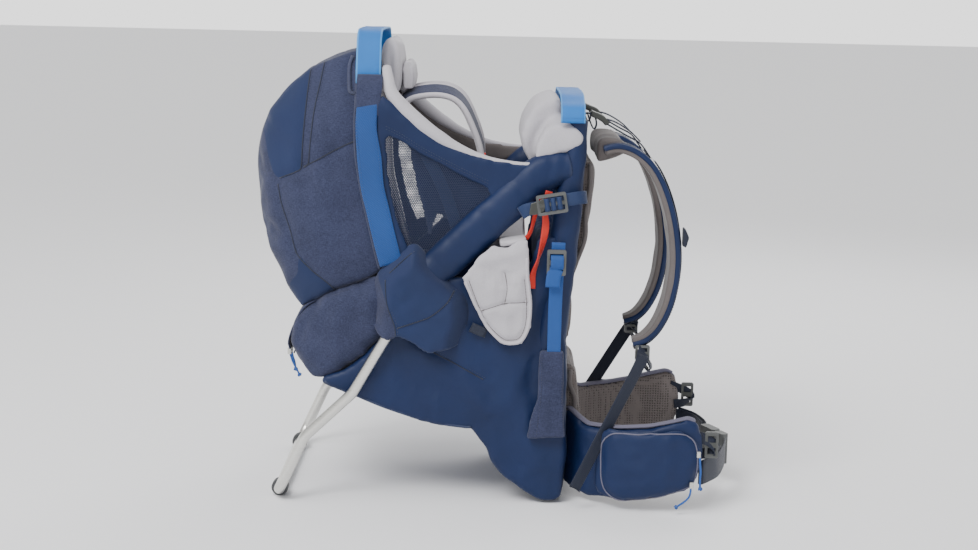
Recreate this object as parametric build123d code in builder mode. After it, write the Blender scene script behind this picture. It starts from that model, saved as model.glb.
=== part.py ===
from build123d import *

import math
import os

# A child carrier worn as a backpack, standing on its kickstand. Millimetres, +X is the
# wearer's forward, +Y the wearer's left and +Z up, with the ground at Z = 0.
# The right side is modelled at negative Y, and the left side is its mirror image.

# Tubes of the frame
HOOP_D = 18
HOOP_WALL = 1.5
ARM_D = 18
REAR_HOOP_D = 14
HOOP_Y = 130
ARM_Y = 141
REAR_HOOP_BORE = 11
REAR_HOOP_Y = 126

# Kickstand
STAND_D = 16
STAND_BORE = 13
STAND_Y = 165
PIVOT = (-132, 309)
KNUCKLE_D = 25
KNUCKLE_LENGTH = 15
PIN_D = 10
PIN_CLEARANCE = 0.05
RING_D = 25
RING_WIDTH = 14
RING_Y = 124

# Soft parts
SLEEVE_D = 46
ARM_SLEEVE_D = 43
BODY_HALF_WIDTH = 150
BAG_HALF_WIDTH = 148
WALL = 4
GAP = 0.6

# Webbing and hardware
WEBBING = 2
LADDER_THICK = 5
CORD_D = 3

os.makedirs("parts", exist_ok=True)


def save(piece, name):
    """Labels a finished piece and writes it as its own file."""
    piece.part.label = name
    export_step(piece.part, f"parts/{name}.step")


def slab(outline, y_low, y_high, radius=0):
    """A side outline in X and Z, extruded across Y."""
    with BuildPart() as piece:
        with BuildSketch(Plane.XZ.offset(-y_high)):
            with BuildLine():
                if radius:
                    FilletPolyline(*outline, radius=radius, close=True)
                else:
                    Polyline(*outline, close=True)
            make_face()
        extrude(amount=y_high - y_low)
    return piece


def band(route, thickness, y_low, y_high, radius):
    """A strip that follows a side route in X and Z and is as wide as y_low to y_high."""
    with BuildPart() as piece:
        with BuildSketch(Plane.XZ.offset(-y_high)):
            with BuildLine() as line:
                FilletPolyline(*route, radius=radius)
            trace(line.line, line_width=thickness)
        extrude(amount=y_high - y_low)
    return piece


def tube(route, radii, diameter, bore=0):
    """A round tube along straight runs joined by arcs."""
    with BuildPart() as piece:
        with BuildLine() as line:
            FilletPolyline(*route, radius=radii)
        start = Plane(origin=line.line @ 0, z_dir=line.line % 0)
        with BuildSketch(start):
            Circle(diameter / 2)
            if bore:
                Circle(bore / 2, mode=Mode.SUBTRACT)
        sweep(path=line.line)
    return piece


def both_sides(piece):
    """The piece and its mirror image across the middle plane, as two solids."""
    with BuildPart() as pair:
        add(piece.part)
        mirror(piece.part, about=Plane.XZ)
    return pair


def other_side(piece):
    """The mirror image of a right-hand piece."""
    with BuildPart() as left:
        mirror(piece.part, about=Plane.XZ)
    return left


def cut(piece, *tools):
    """The piece with room cut for the tools."""
    with BuildPart() as rest:
        add(piece.part)
        for tool in tools:
            add(tool.part, mode=Mode.SUBTRACT)
    return rest


# ---------------------------------------------------------------- frame tubes
# Main hoop: bottom bar, two uprights that lean forward, top bar under the front handle
HOOP_BOTTOM = (86, 27)
HOOP_KNEE = (80, 225)
HOOP_TOP = (112, 576)
HOOP_CORNER = 52
HOOP_BEND = 180


def hoop_half(diameter, bore):
    """Half of the main hoop, from the middle of the bottom bar to that of the top bar."""
    route = [
        (HOOP_BOTTOM[0], 0, HOOP_BOTTOM[1]),
        (HOOP_BOTTOM[0], -HOOP_Y, HOOP_BOTTOM[1]),
        (HOOP_KNEE[0], -HOOP_Y, HOOP_KNEE[1]),
        (HOOP_TOP[0], -HOOP_Y, HOOP_TOP[1]),
        (HOOP_TOP[0], 0, HOOP_TOP[1]),
    ]
    return tube(route, [HOOP_CORNER, HOOP_BEND, HOOP_CORNER], diameter, bore)


frame_hoop = both_sides(hoop_half(HOOP_D, HOOP_D - 2 * HOOP_WALL))
hoop_room = both_sides(hoop_half(HOOP_D + 2 * GAP, 0))
save(frame_hoop, "frame_hoop")

# Seat arms: bent tubes from the hubs up to the uprights
ARM_ROUTE = [
    (-120, -ARM_Y, 326),
    (-17, -ARM_Y, 424),
    (50, -136, 494),
    (101, -HOOP_Y, 507),
]
ARM_RADII = [220, 60]
seat_arm = cut(tube(ARM_ROUTE, ARM_RADII, ARM_D), hoop_half(HOOP_D, 0))
save(both_sides(seat_arm), "seat_arms")

# Rear hoop: carries the rear bag and the back of the cockpit
REAR_ROUTE = [
    (-146, -REAR_HOOP_Y, 338),
    (-158, -REAR_HOOP_Y, 380),
    (-180, -REAR_HOOP_Y, 470),
    (-190, -REAR_HOOP_Y, 652),
    (-190, 0, 652),
]
REAR_RADII = [60, 200, 60]
rear_hoop = both_sides(tube(REAR_ROUTE, REAR_RADII, REAR_HOOP_D, REAR_HOOP_BORE))
save(rear_hoop, "rear_hoop")

# Hubs: castings that join arm, rear hoop and kickstand pivot
HUB_OUTLINE = [(-160, 300), (-150, 284), (-118, 284), (-98, 316), (-104, 340), (-152, 344)]
hub_block = slab(HUB_OUTLINE, -156.5, -116, 6)
arm_room = tube(ARM_ROUTE, ARM_RADII, ARM_D)
rear_room = tube(REAR_ROUTE, REAR_RADII, REAR_HOOP_D)


def along_y(centre, diameter, y_low, y_high):
    """A round bar parallel to Y."""
    with BuildPart() as bar:
        with BuildSketch(Plane.XZ.offset(-y_high)):
            with Locations(centre):
                Circle(diameter / 2)
        extrude(amount=y_high - y_low)
    return bar


pin_room = along_y(PIVOT, PIN_D, -180, -120)
hub = cut(hub_block, arm_room, rear_room, pin_room)
save(both_sides(hub), "hubs")

# Pivot pins with a head outside the knuckle
with BuildPart() as pivot_pin:
    with BuildSketch(Plane.XZ.offset(132)):
        with Locations(PIVOT):
            Circle(PIN_D / 2)
    extrude(amount=42)
    with BuildSketch(Plane.XZ.offset(174)):
        with Locations(PIVOT):
            Circle(8)
    extrude(amount=2.5)
pivot_pin = cut(pivot_pin, arm_room, rear_room)
save(both_sides(pivot_pin), "pivot_pins")

# ---------------------------------------------------------------- kickstand
STAND_SOCKET = 19
STAND_KNEE = (-213, 168)
STAND_ANGLE = math.atan2(STAND_KNEE[1] - PIVOT[1], STAND_KNEE[0] - PIVOT[0])
STAND_ANKLE = (-284, 100)
STAND_FOOT = (-324, RING_D / 2)
STAND_BEND = 42
STAND_CORNER = 26
stand_start = (
    PIVOT[0] + STAND_SOCKET * math.cos(STAND_ANGLE),
    PIVOT[1] + STAND_SOCKET * math.sin(STAND_ANGLE),
)
STAND_ROUTE = [
    (stand_start[0], -STAND_Y, stand_start[1]),
    (STAND_KNEE[0], -STAND_Y, STAND_KNEE[1]),
    (STAND_ANKLE[0], -STAND_Y, STAND_ANKLE[1]),
    (STAND_FOOT[0], -STAND_Y, STAND_FOOT[1]),
    (STAND_FOOT[0], 0, STAND_FOOT[1]),
]
kickstand_tube = both_sides(
    tube(STAND_ROUTE, [STAND_BEND, STAND_BEND, STAND_CORNER], STAND_D, STAND_BORE)
)
save(kickstand_tube, "kickstand_tube")

# Knuckles: an eye on the pivot pin and a plug inside the tube's end
stem_plane = Plane(
    origin=(PIVOT[0], -STAND_Y, PIVOT[1]),
    x_dir=(0, 1, 0),
    z_dir=(math.cos(STAND_ANGLE), 0, math.sin(STAND_ANGLE)),
)
eye = along_y(PIVOT, KNUCKLE_D, -STAND_Y - KNUCKLE_LENGTH / 2, -STAND_Y + KNUCKLE_LENGTH / 2)
pin_bore = along_y(PIVOT, PIN_D + 2 * PIN_CLEARANCE, -180, -150)
with BuildPart() as knuckle:
    add(eye.part)
    with BuildSketch(stem_plane):
        Circle(KNUCKLE_LENGTH / 2 - 0.1)
    extrude(amount=STAND_SOCKET)
    with BuildSketch(stem_plane.offset(STAND_SOCKET)):
        Circle(STAND_BORE / 2)
    extrude(amount=24)
    add(pin_bore.part, mode=Mode.SUBTRACT)
save(both_sides(knuckle), "kickstand_knuckles")

with BuildPart() as ring:
    with BuildSketch(Plane.XZ.offset(RING_Y)):
        with Locations(STAND_FOOT):
            Circle(RING_D / 2)
            Circle(STAND_D / 2, mode=Mode.SUBTRACT)
    extrude(amount=RING_WIDTH)
save(both_sides(ring), "kickstand_rings")

# ---------------------------------------------------------------- padded sleeves
SLEEVE_FOOT_Z = 236
SLEEVE_HEAD_Z = 528


def between_heights(piece, z_low, z_high):
    """Keeps what lies between two heights."""
    with BuildPart() as rest:
        add(piece.part)
        with BuildSketch(Plane.XY.offset(z_low)):
            Rectangle(900, 600)
        extrude(amount=z_high - z_low, mode=Mode.INTERSECT)
    return rest


upright_sleeve = between_heights(hoop_half(SLEEVE_D, HOOP_D), SLEEVE_FOOT_Z, SLEEVE_HEAD_Z)
upright_room = between_heights(
    hoop_half(SLEEVE_D + 2 * GAP, 0), SLEEVE_FOOT_Z - GAP, SLEEVE_HEAD_Z + GAP
)
save(both_sides(cut(upright_sleeve, arm_room)), "upright_sleeves")

hub_room = slab([(-175, 270), (-92, 270), (-92, 350), (-175, 350)], -170, -110)
arm_sleeve = cut(tube(ARM_ROUTE, ARM_RADII, ARM_SLEEVE_D, ARM_D), upright_room, hub_room)
arm_sleeve_room = tube(ARM_ROUTE, ARM_RADII, ARM_SLEEVE_D + 2 * GAP)
save(both_sides(arm_sleeve), "arm_sleeves")

# Hub covers: fabric shells over the knuckles, open at the bottom for the stand's leg
COVER_OUTLINE = [(-172, 352), (-132, 372), (-84, 352), (-70, 318), (-100, 300), (-160, 280)]
COVER_POCKET = [(-168, 200), (-168, 342), (-134, 358), (-96, 342), (-86, 316), (-86, 200)]
cover_solid = slab(COVER_OUTLINE, -180, -164.5, 8)
cover_pocket = slab(COVER_POCKET, -177, -160)
hub_cover = cut(cover_solid, cover_pocket, arm_sleeve_room)
save(both_sides(hub_cover), "hub_covers")

# ---------------------------------------------------------------- rear bag and pocket
BAG_OUTLINE = [
    (-196, 674),
    (-237, 664),
    (-282, 641),
    (-313, 616),
    (-343, 578),
    (-361, 532),
    (-365, 486),
    (-359, 430),
    (-341, 368),
    (-318, 322),
    (-292, 284),
    (-258, 306),
    (-232, 319),
    (-170, 345),
    (-186, 400),
    (-198, 480),
    (-200, 600),
]
BAG_PLAN = [(-170, -148), (-250, -148), (-330, -128), (-372, -70)]

BAG_FRONT = [(-148, 100), (-148, 560), (-139, 600), (-124, 630), (-98, 662), (-90, 710)]


def rounded_bag(piece, inset):
    """Keeps what lies inside the bag's plan and front outlines, moved in by inset."""
    right = [(x + (inset if x < -300 else 0), y + inset) for x, y in BAG_PLAN]
    left = [(x, -y) for x, y in reversed(right)]
    with BuildPart() as rest:
        add(piece.part)
        with BuildSketch(Plane.XY):
            with BuildLine():
                FilletPolyline(*right, *left, radius=30, close=True)
            make_face()
        extrude(amount=800, mode=Mode.INTERSECT)
        shoulder = [(y + inset, z - inset) for y, z in BAG_FRONT]
        far_shoulder = [(-y, z) for y, z in reversed(shoulder)]
        with BuildSketch(Plane.YZ.offset(-400)):
            with BuildLine():
                Polyline(*shoulder, *far_shoulder, close=True)
            make_face()
        extrude(amount=400, mode=Mode.INTERSECT)
    return rest


def inner_outline(outline, inset, front_x):
    """The outline shrunk towards its middle by inset, then opened towards +X."""
    middle_x = sum(x for x, _ in outline) / len(outline)
    middle_z = sum(z for _, z in outline) / len(outline)
    moved = []
    for x, z in outline:
        reach = math.hypot(x - middle_x, z - middle_z)
        scale = 1 - inset / reach
        moved.append((middle_x + (x - middle_x) * scale, middle_z + (z - middle_z) * scale))
    return [(front_x, z) if x > -212 else (x, z) for x, z in moved]


bag_outer = rounded_bag(slab(BAG_OUTLINE, -BAG_HALF_WIDTH, BAG_HALF_WIDTH), 0)
bag_inner = rounded_bag(
    slab(inner_outline(BAG_OUTLINE, 6, -160), -BAG_HALF_WIDTH + WALL, BAG_HALF_WIDTH - WALL), WALL
)
rear_hoop_room = both_sides(tube(REAR_ROUTE, REAR_RADII, REAR_HOOP_D + 2 * GAP))
rear_bag = cut(bag_outer, bag_inner, rear_hoop_room)
save(rear_bag, "rear_bag")

# The panel behind the child's back, which closes the bag towards the cockpit
child_back_panel = cut(
    band([(-161, 352), (-179, 420), (-187, 500), (-188, 618)], 6, -112, 112, 120), rear_hoop_room
)
save(child_back_panel, "child_back_panel")

POCKET_OUTLINE = [
    (-172, 343),
    (-233, 317.5),
    (-259, 304),
    (-293, 281),
    (-311, 258),
    (-318, 226),
    (-304, 216),
    (-284, 190),
    (-262, 184),
    (-229, 201),
    (-194, 226),
    (-174, 250),
    (-178, 290),
]
POCKET_INSIDE = [
    (-182, 334),
    (-233, 313),
    (-257, 300),
    (-289, 276),
    (-304.5, 254),
    (-311, 231),
    (-300, 220),
    (-280, 194),
    (-262, 190),
    (-233, 205),
    (-199, 230),
    (-150, 250),
    (-150, 334),
]
pocket_outer = rounded_bag(slab(POCKET_OUTLINE, -BAG_HALF_WIDTH, BAG_HALF_WIDTH), 0)
pocket_inner = rounded_bag(
    slab(POCKET_INSIDE, -BAG_HALF_WIDTH + WALL, BAG_HALF_WIDTH - WALL), WALL
)
lower_pocket = cut(pocket_outer, pocket_inner)
save(lower_pocket, "lower_pocket")

# ---------------------------------------------------------------- lower body
BODY_OUTLINE = [
    (-168, 340),
    (-172, 290),
    (-168, 252),
    (-192, 222),
    (-226, 197),
    (-258, 179),
    (-225, 165),
    (-166, 141),
    (-98, 121),
    (-37, 114),
    (-24, 100),
    (-9, 84),
    (-2, 63),
    (10, 46),
    (41.5, 23.5),
    (63.5, 8.8),
    (72, 4.6),
    (92, 4.6),
    (101, 9.6),
    (104, 40),
    (102, 235),
    (56, 240),
    (60, 311),
    (64, 368),
    (65.6, 406),
    (52, 406),
    (44, 342),
    (-60, 342),
    (-90, 330),
]
BODY_INSIDE = [
    (-160, 360),
    (-168, 290),
    (-163, 254),
    (-187, 219),
    (-222, 193),
    (-246, 178),
    (-222, 169),
    (-164, 145),
    (-98, 125),
    (-35, 118),
    (-20, 103),
    (-5, 86),
    (2, 65),
    (13, 50),
    (44, 27.5),
    (65, 13),
    (73, 9),
    (91, 9),
    (97, 13),
    (100, 40),
    (98, 231),
    (52, 236),
    (56, 311),
    (60, 368),
    (63, 460),
    (40, 460),
]
body_outer = slab(BODY_OUTLINE, -BODY_HALF_WIDTH, BODY_HALF_WIDTH)
body_inner = slab(BODY_INSIDE, -BODY_HALF_WIDTH + WALL, BODY_HALF_WIDTH - WALL)
hub_clear = both_sides(slab([(-176, 268), (-90, 268), (-90, 360), (-176, 360)], -160, -120))
lower_body = cut(
    body_outer,
    body_inner,
    both_sides(arm_sleeve_room),
    both_sides(upright_room),
    hub_clear,
    hoop_room,
)
save(lower_body, "lower_body")

# Front foot: a wear strip under the front edge
FOOT_ROUTE = [(40, 21), (62, 6.3), (72, 2), (92, 2), (101, 7)]
front_foot = band(FOOT_ROUTE, 4, -118, 118, 6)
save(front_foot, "front_foot")

# ---------------------------------------------------------------- cockpit sides
COCKPIT_WALL = [
    (-172, 592),
    (-120, 552),
    (-76, 526),
    (-32, 512),
    (4, 505),
    (30, 505),
    (56, 500),
    (58, 480),
    (-7, 414),
    (-104, 326),
    (-130, 358),
    (-168, 354),
    (-180, 420),
    (-188, 500),
]
WINDOW = [(-164, 542), (-110, 516), (-24, 472), (-100, 376), (-118, 376), (-138, 410), (-156, 460)]
wall_y = -BODY_HALF_WIDTH
cockpit_wall = cut(
    slab(COCKPIT_WALL, wall_y, wall_y + 3),
    slab(WINDOW, wall_y - 10, wall_y + 10),
    arm_sleeve_room,
    hub_room,
    upright_room,
    rear_hoop_room,
    lower_body,
)
save(both_sides(cockpit_wall), "cockpit_walls")
window_mesh = cut(slab(WINDOW, wall_y + 1, wall_y + 2), arm_sleeve_room)
save(both_sides(window_mesh), "window_meshes")

RIM_D = 15
RIM_ROUTE = [
    (-176, -148, 606),
    (-154, -148, 586),
    (-118, -148, 561),
    (-74, -148, 536),
    (-30, -148, 521),
    (18, -148, 514),
]
rim = cut(tube(RIM_ROUTE, [60, 150, 150, 150], RIM_D), cockpit_wall)
save(both_sides(rim), "rim_pipings")

# ---------------------------------------------------------------- child's seat
SADDLE_Z = 397
TONGUE_OUTLINE = [
    (-44, 333),
    (-24, 372),
    (-18, 400),
    (34, 404),
    (44, 376),
    (50, 331),
    (54, 287),
    (47, 257),
    (30, 246),
    (3, 256),
    (-20, 285),
]
tongue = slab(TONGUE_OUTLINE, -171, -165)
saddle_half = slab([(15, 396), (15, 402), (34, 404), (35, 398)], -171, 0)
with BuildPart() as child_seat:
    for half in (tongue, saddle_half):
        add(half.part)
        mirror(half.part, about=Plane.XZ)
save(child_seat, "child_seat")

# Adjuster webbing beside each upright, which sets the seat's height
ADJUSTER_ROUTE = [(74, 478), (66, 440), (62, 410), (50, 372)]
adjuster = band(ADJUSTER_ROUTE, WEBBING, -163, -153, 30)
adjuster = cut(adjuster, upright_room, arm_sleeve_room)
save(both_sides(adjuster), "seat_adjust_webbing")

# Child's shoulder straps and the clip between them
CHILD_STRAP = [
    (-178, 560),
    (-152, 594),
    (-132, 612),
    (-92, 616),
    (-64, 602),
    (-44, 566),
    (-30, 518),
    (-34, 470),
    (-60, 430),
]
child_strap = band(CHILD_STRAP, 7, -66, -36, [16, 14, 22, 24, 40, 60, 50])
child_strap = cut(child_strap, child_back_panel)
with BuildPart() as child_harness:
    add(child_strap.part)
    mirror(child_strap.part, about=Plane.XZ)
    with Locations((-42, 0, 452)):
        Box(8, 44, 26)
save(child_harness, "child_harness")

# Headrest pads at the top of the child's back
headrest_tall = slab(
    [(-183, 606), (-178, 688), (-166, 686), (-156, 668), (-154, 640), (-158, 606)], -78, 78, 4
)
save(cut(headrest_tall, rear_hoop_room, child_back_panel), "headrest_tall")
headrest_child = slab(
    [(-152, 614), (-153, 648), (-146, 654), (-137, 646), (-134, 622), (-138, 614)], -62, 62, 2.5
)
save(cut(headrest_child, child_harness), "headrest_child")

# Drool pad over the front of the cockpit, with a notch for the front handle
PAD_OUTLINE = [
    (22, 523),
    (26, 550),
    (42, 581),
    (62, 600),
    (81, 606),
    (83, 577),
    (112, 576),
    (122, 564),
    (119, 548),
    (94, 532.5),
    (54, 522),
    (40, 514),
]
drool_pad = cut(slab(PAD_OUTLINE, -112, 112), both_sides(hoop_half(HOOP_D, 0)))
save(cut(drool_pad, both_sides(rim)), "drool_pad")

# ---------------------------------------------------------------- grab handles and side straps


def handle(x_low, x_high, foot_y, foot_z, top_y, top_z):
    """A webbing arch across Y, as wide as x_low to x_high."""
    route = [(-foot_y, foot_z), (-top_y, top_z), (top_y, top_z), (foot_y, foot_z)]
    with BuildPart() as arch:
        with BuildSketch(Plane.YZ.offset(x_low)):
            with BuildLine() as line:
                FilletPolyline(*route, radius=28)
            trace(line.line, line_width=3)
        extrude(amount=x_high - x_low)
    return arch


front_handle = handle(84, 120, 100, 586, 92, 612)
save(cut(front_handle, frame_hoop), "front_handle")
rear_handle = handle(-214, -180, 129, 626, 100, 700)
save(cut(rear_handle, rear_hoop_room, bag_outer), "rear_handle")

STRAP_OUTLINE = [
    (-206, 590),
    (-211, 528),
    (-200, 456),
    (-183, 383),
    (-170, 353),
    (-142, 366),
    (-150, 398),
    (-165, 457),
    (-176, 529),
    (-180, 594),
]
side_strap = slab(STRAP_OUTLINE, -155, -152.5, 4)
save(both_sides(side_strap), "side_straps")

# ---------------------------------------------------------------- side buckles and stirrups


def ladder(centre, width, height, tilt, y_face):
    """A ladder lock, standing outwards from y_face: a rounded frame with one middle bar."""
    with BuildPart() as lock:
        with BuildSketch(Plane.XZ.offset(-y_face)):
            with Locations(Location((centre[0], centre[1]), tilt)):
                RectangleRounded(width, height, 3)
                with Locations((0, height / 4 - 1), (0, 1 - height / 4)):
                    Rectangle(width - 8, height / 4, mode=Mode.SUBTRACT)
        extrude(amount=LADDER_THICK)
    return lock


side_buckle = ladder((74, 457), 44, 30, 10, -168)
save(both_sides(side_buckle), "side_buckles")
SIDE_WEB = [(30, 436), (34, 450), (99, 474), (101, 458)]
side_web = slab(SIDE_WEB, -167, -165)
save(both_sides(cut(side_web, upright_room, arm_sleeve_room)), "side_webbings")

STIRRUP_X = 83
STIRRUP_TOP = 400
stirrup_ladder = ladder((STIRRUP_X, 371), 28, 38, 0, -168)
tri_glide = ladder((322, 100), 20, 40, 0, -158)
with BuildPart() as webbing_adjusters:
    for lock in (stirrup_ladder, tri_glide):
        add(lock.part)
        mirror(lock.part, about=Plane.XZ)
save(webbing_adjusters, "webbing_adjusters")

STIRRUP_OUTLINE = [(62, 238), (98, 238), (99, 160), (103, 107), (47, 105), (51, 133), (61, 164)]
stirrup_sleeve = slab(STIRRUP_OUTLINE, -167, -158)
stirrup_strap = slab(
    [
        (STIRRUP_X - 10, 238.5),
        (STIRRUP_X + 10, 238.5),
        (STIRRUP_X + 10, STIRRUP_TOP),
        (STIRRUP_X - 10, STIRRUP_TOP),
    ],
    -166,
    -164,
)
with BuildPart() as stirrup_R:
    add(stirrup_sleeve.part)
    add(stirrup_strap.part)
save(stirrup_R, "stirrup_R")
save(other_side(stirrup_R), "stirrup_L")

# ---------------------------------------------------------------- back panel
PLATE_ROUTE = [(100, 236), (101, 320), (112, 420), (118, 508)]
back_panel_plate = band(PLATE_ROUTE, 3, -104, 104, 200)
save(back_panel_plate, "back_panel_plate")
BACK_PAD = [
    (103, 238),
    (110, 262),
    (111, 302),
    (104, 326),
    (105, 334),
    (112, 345),
    (123, 368),
    (136, 440),
    (140, 500),
    (136, 518),
    (124, 516),
    (121, 508),
    (115, 420),
    (101.9, 318),
]
back_pad = cut(slab(BACK_PAD, -106, 106), back_panel_plate)
save(back_pad, "back_pad")
LUMBAR = [(107, 30), (126, 34), (128, 120), (120, 196), (107, 204)]
lumbar_pad = slab(LUMBAR, -83, 83, 5)
save(lumbar_pad, "lumbar_pad")

# ---------------------------------------------------------------- hip belt


def plan_band(route, radii, thickness, z_low, z_high):
    """A strip that follows a route in X and Y, as high as z_low to z_high."""
    with BuildPart() as piece:
        with BuildSketch(Plane.XY.offset(z_low)):
            with BuildLine() as line:
                FilletPolyline(*route, radius=radii)
            trace(line.line, line_width=thickness)
        extrude(amount=z_high - z_low)
    return piece


def within_side(piece, outline, radius):
    """Keeps what lies inside a side outline."""
    with BuildPart() as rest:
        add(piece.part)
        with BuildSketch(Plane.XZ.offset(-250)):
            with BuildLine():
                FilletPolyline(*outline, radius=radius, close=True)
            make_face()
        extrude(amount=500, mode=Mode.INTERSECT)
    return rest


WING_PLAN = [(116, -92), (130, -118), (156, -138), (200, -156), (252, -166), (308, -162)]
WING_SIDE = [
    (106, 20),
    (143, 9),
    (188, 7),
    (232, 14),
    (291, 32),
    (306, 57),
    (312, 92),
    (301, 132),
    (284, 140),
    (228, 128),
    (184, 122),
    (140, 122),
    (106, 138),
]
hip_wing = within_side(plan_band(WING_PLAN, [40, 60, 90, 120], 16, 0, 150), WING_SIDE, 8)
save(hip_wing, "hip_wing_R")
save(other_side(hip_wing), "hip_wing_L")

POCKET_PLAN = [(160, -152), (198, -169), (250, -179), (303, -175)]
POCKET_SIDE = [
    (166, 30),
    (175, 16),
    (232, 17),
    (289, 37),
    (301, 60),
    (302, 98),
    (295, 116),
    (271, 126),
    (212, 124),
    (179, 121),
    (168, 104),
]
pocket_raw = within_side(plan_band(POCKET_PLAN, [60, 90], 15, 0, 150), POCKET_SIDE, 10)
hip_pocket = cut(pocket_raw, hip_wing)
save(both_sides(hip_pocket), "hip_pockets")

# Belt webbing and its buckle, whose axis is turned from Y towards X
BUCKLE_TURN = 24
BUCKLE_CENTRE = (348, 2, 58)
WEB_LOW = 39
WEB_HIGH = 77
buckle_plane = Plane(
    origin=BUCKLE_CENTRE,
    x_dir=(math.sin(math.radians(BUCKLE_TURN)), -math.cos(math.radians(BUCKLE_TURN)), 0),
    z_dir=(0, 0, 1),
)


def on_buckle(along, outward):
    """A plan point, so far along the buckle's axis to the right and outwards from it."""
    point = buckle_plane.from_local_coords((along, outward, 0))
    return (point.X, point.Y)


male_end = on_buckle(34.8, 0)
female_end = on_buckle(-33.2, 0)
web_right = plan_band(
    [(313.5, -158), (338, -120), (356, -66), male_end], [50, 40], WEBBING, WEB_LOW, WEB_HIGH
)
save(web_right, "hip_webbing_R")
web_left = plan_band(
    [(313.5, 158), (336, 122), (344, 70), female_end], [50, 40], WEBBING, WEB_LOW, WEB_HIGH
)
save(web_left, "hip_webbing_L")

with BuildPart() as hip_buckle_female:
    with BuildSketch(buckle_plane):
        with Locations((-12, 0)):
            RectangleRounded(40, 15, 5)
    extrude(amount=25, both=True)
    with BuildSketch(buckle_plane):
        with Locations((-4, 0)):
            Rectangle(25, 9, mode=Mode.ADD)
    extrude(amount=20, both=True, mode=Mode.SUBTRACT)
    with BuildSketch(buckle_plane):
        with Locations((6, 0)):
            Rectangle(14, 16)
    extrude(amount=14, both=True, mode=Mode.SUBTRACT)
save(hip_buckle_female, "hip_buckle_female")

with BuildPart() as hip_buckle_male:
    with BuildSketch(buckle_plane):
        with Locations((21, 0)):
            RectangleRounded(25, 13, 4)
    extrude(amount=24, both=True)
    with BuildSketch(buckle_plane):
        with Locations((0, 0)):
            Rectangle(18, 6)
    extrude(amount=6, both=True)
save(hip_buckle_male, "hip_buckle_male")

# Two sprung prongs, each a lever beside the middle tongue
PRONG_OUTLINE = [(-10, 9.5), (-10, 13.5), (4, 18.5), (8.2, 18.5), (8.2, 11), (-4, 9.5)]
prong_plane = Plane(
    origin=BUCKLE_CENTRE,
    x_dir=buckle_plane.x_dir,
    z_dir=buckle_plane.y_dir,
)
with BuildPart() as prong:
    with BuildSketch(prong_plane):
        with BuildLine():
            Polyline(*PRONG_OUTLINE, close=True)
        make_face()
    extrude(amount=3, both=True)
with BuildPart() as prong_mirrored:
    mirror(prong.part, about=buckle_plane)
save(prong, "hip_prong_lower")
save(prong_mirrored, "hip_prong_upper")

# ---------------------------------------------------------------- shoulder harness
STRAP_Y = 92
STRAP_HALF_WIDTH = 32
STRAP_THICK = 13
SHOULDER_ROUTE = [
    (171.5, 533),
    (196, 528),
    (222, 506),
    (243, 466),
    (257, 416),
    (262, 362),
    (255, 308),
    (240, 268),
    (214, 243),
]
shoulder_strap = band(
    SHOULDER_ROUTE,
    STRAP_THICK,
    -STRAP_Y - STRAP_HALF_WIDTH,
    -STRAP_Y + STRAP_HALF_WIDTH,
    [30, 30, 60, 90, 90, 70, 40],
)
save(shoulder_strap, "shoulder_strap_R")
save(other_side(shoulder_strap), "shoulder_strap_L")
yoke_pad = slab(
    [(142, 498), (141, 536), (150, 541), (169.5, 540), (169.5, 527), (156, 514), (152, 498)], -96, 96
)
save(yoke_pad, "yoke_pad")

LIFTER = [(128, 584), (148, 572), (184, 552), (214, 533)]
load_lifter = band(LIFTER, WEBBING, -88, -70, 30)
save(both_sides(cut(load_lifter, shoulder_strap)), "load_lifters")

strap_ladder = ladder((219, 226), 22, 24, 0, -104)
save(both_sides(strap_ladder), "strap_ladders")

# Lower webbing, which shortens as the harness is let down
web_start = Vector(212, -130, 212)
web_stop = Vector(122, -184, 40)
web_run = (web_stop - web_start).normalized()
web_face = Plane(origin=web_start, x_dir=web_run.cross(Vector(0, 1, 0)), z_dir=web_run)
with BuildPart() as lower_web:
    with BuildSketch(web_face):
        Rectangle(20, WEBBING)
    extrude(amount=(web_stop - web_start).length)
save(both_sides(lower_web), "lower_webbings")

STERNUM_Z = 404
STERNUM_X = 266
with BuildPart() as sternum_strap:
    with Locations((STERNUM_X + 3, 68, STERNUM_Z)):
        Box(3, 92, 18)
    with Locations((STERNUM_X + 3, 11, STERNUM_Z)):
        Box(9, 22, 24)
    with Locations((STERNUM_X + 3, 7, STERNUM_Z)):
        Box(5, 14.1, 17, mode=Mode.SUBTRACT)
save(sternum_strap, "sternum_strap")
with BuildPart() as sternum_buckle:
    with Locations((STERNUM_X + 3, -68, STERNUM_Z)):
        Box(3, 92, 18)
    with Locations((STERNUM_X + 3, -12, STERNUM_Z)):
        Box(9, 23, 22)
    with Locations((STERNUM_X + 3, 5, STERNUM_Z)):
        Box(4, 12, 15)
save(sternum_buckle, "sternum_buckle")

# ---------------------------------------------------------------- zip sliders and pull cords
# A slider is a small block on the zip, and its cord hangs from it and ends in a knot.
SLIDER = (6, 5, 9)
HIP_UPPER = (300, -187, 92)
HIP_LOWER = (291, -190, 46)
REAR_PULL_R = (-314.5, -96, 214.5)
REAR_PULL_L = (-314.5, -78, 214.5)


def slider_at(place):
    """A zip slider with rounded edges."""
    with BuildPart() as slider:
        with Locations(place):
            Box(*SLIDER)
        fillet(slider.edges().filter_by(Axis.Z), 1.5)
    return slider


hip_sliders = [both_sides(slider_at(place)) for place in (HIP_UPPER, HIP_LOWER)]
with BuildPart() as zip_sliders:
    for pair in hip_sliders:
        add(pair.part)
    for place in (REAR_PULL_R, REAR_PULL_L):
        add(slider_at(place).part)
save(zip_sliders, "zip_sliders")


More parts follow.
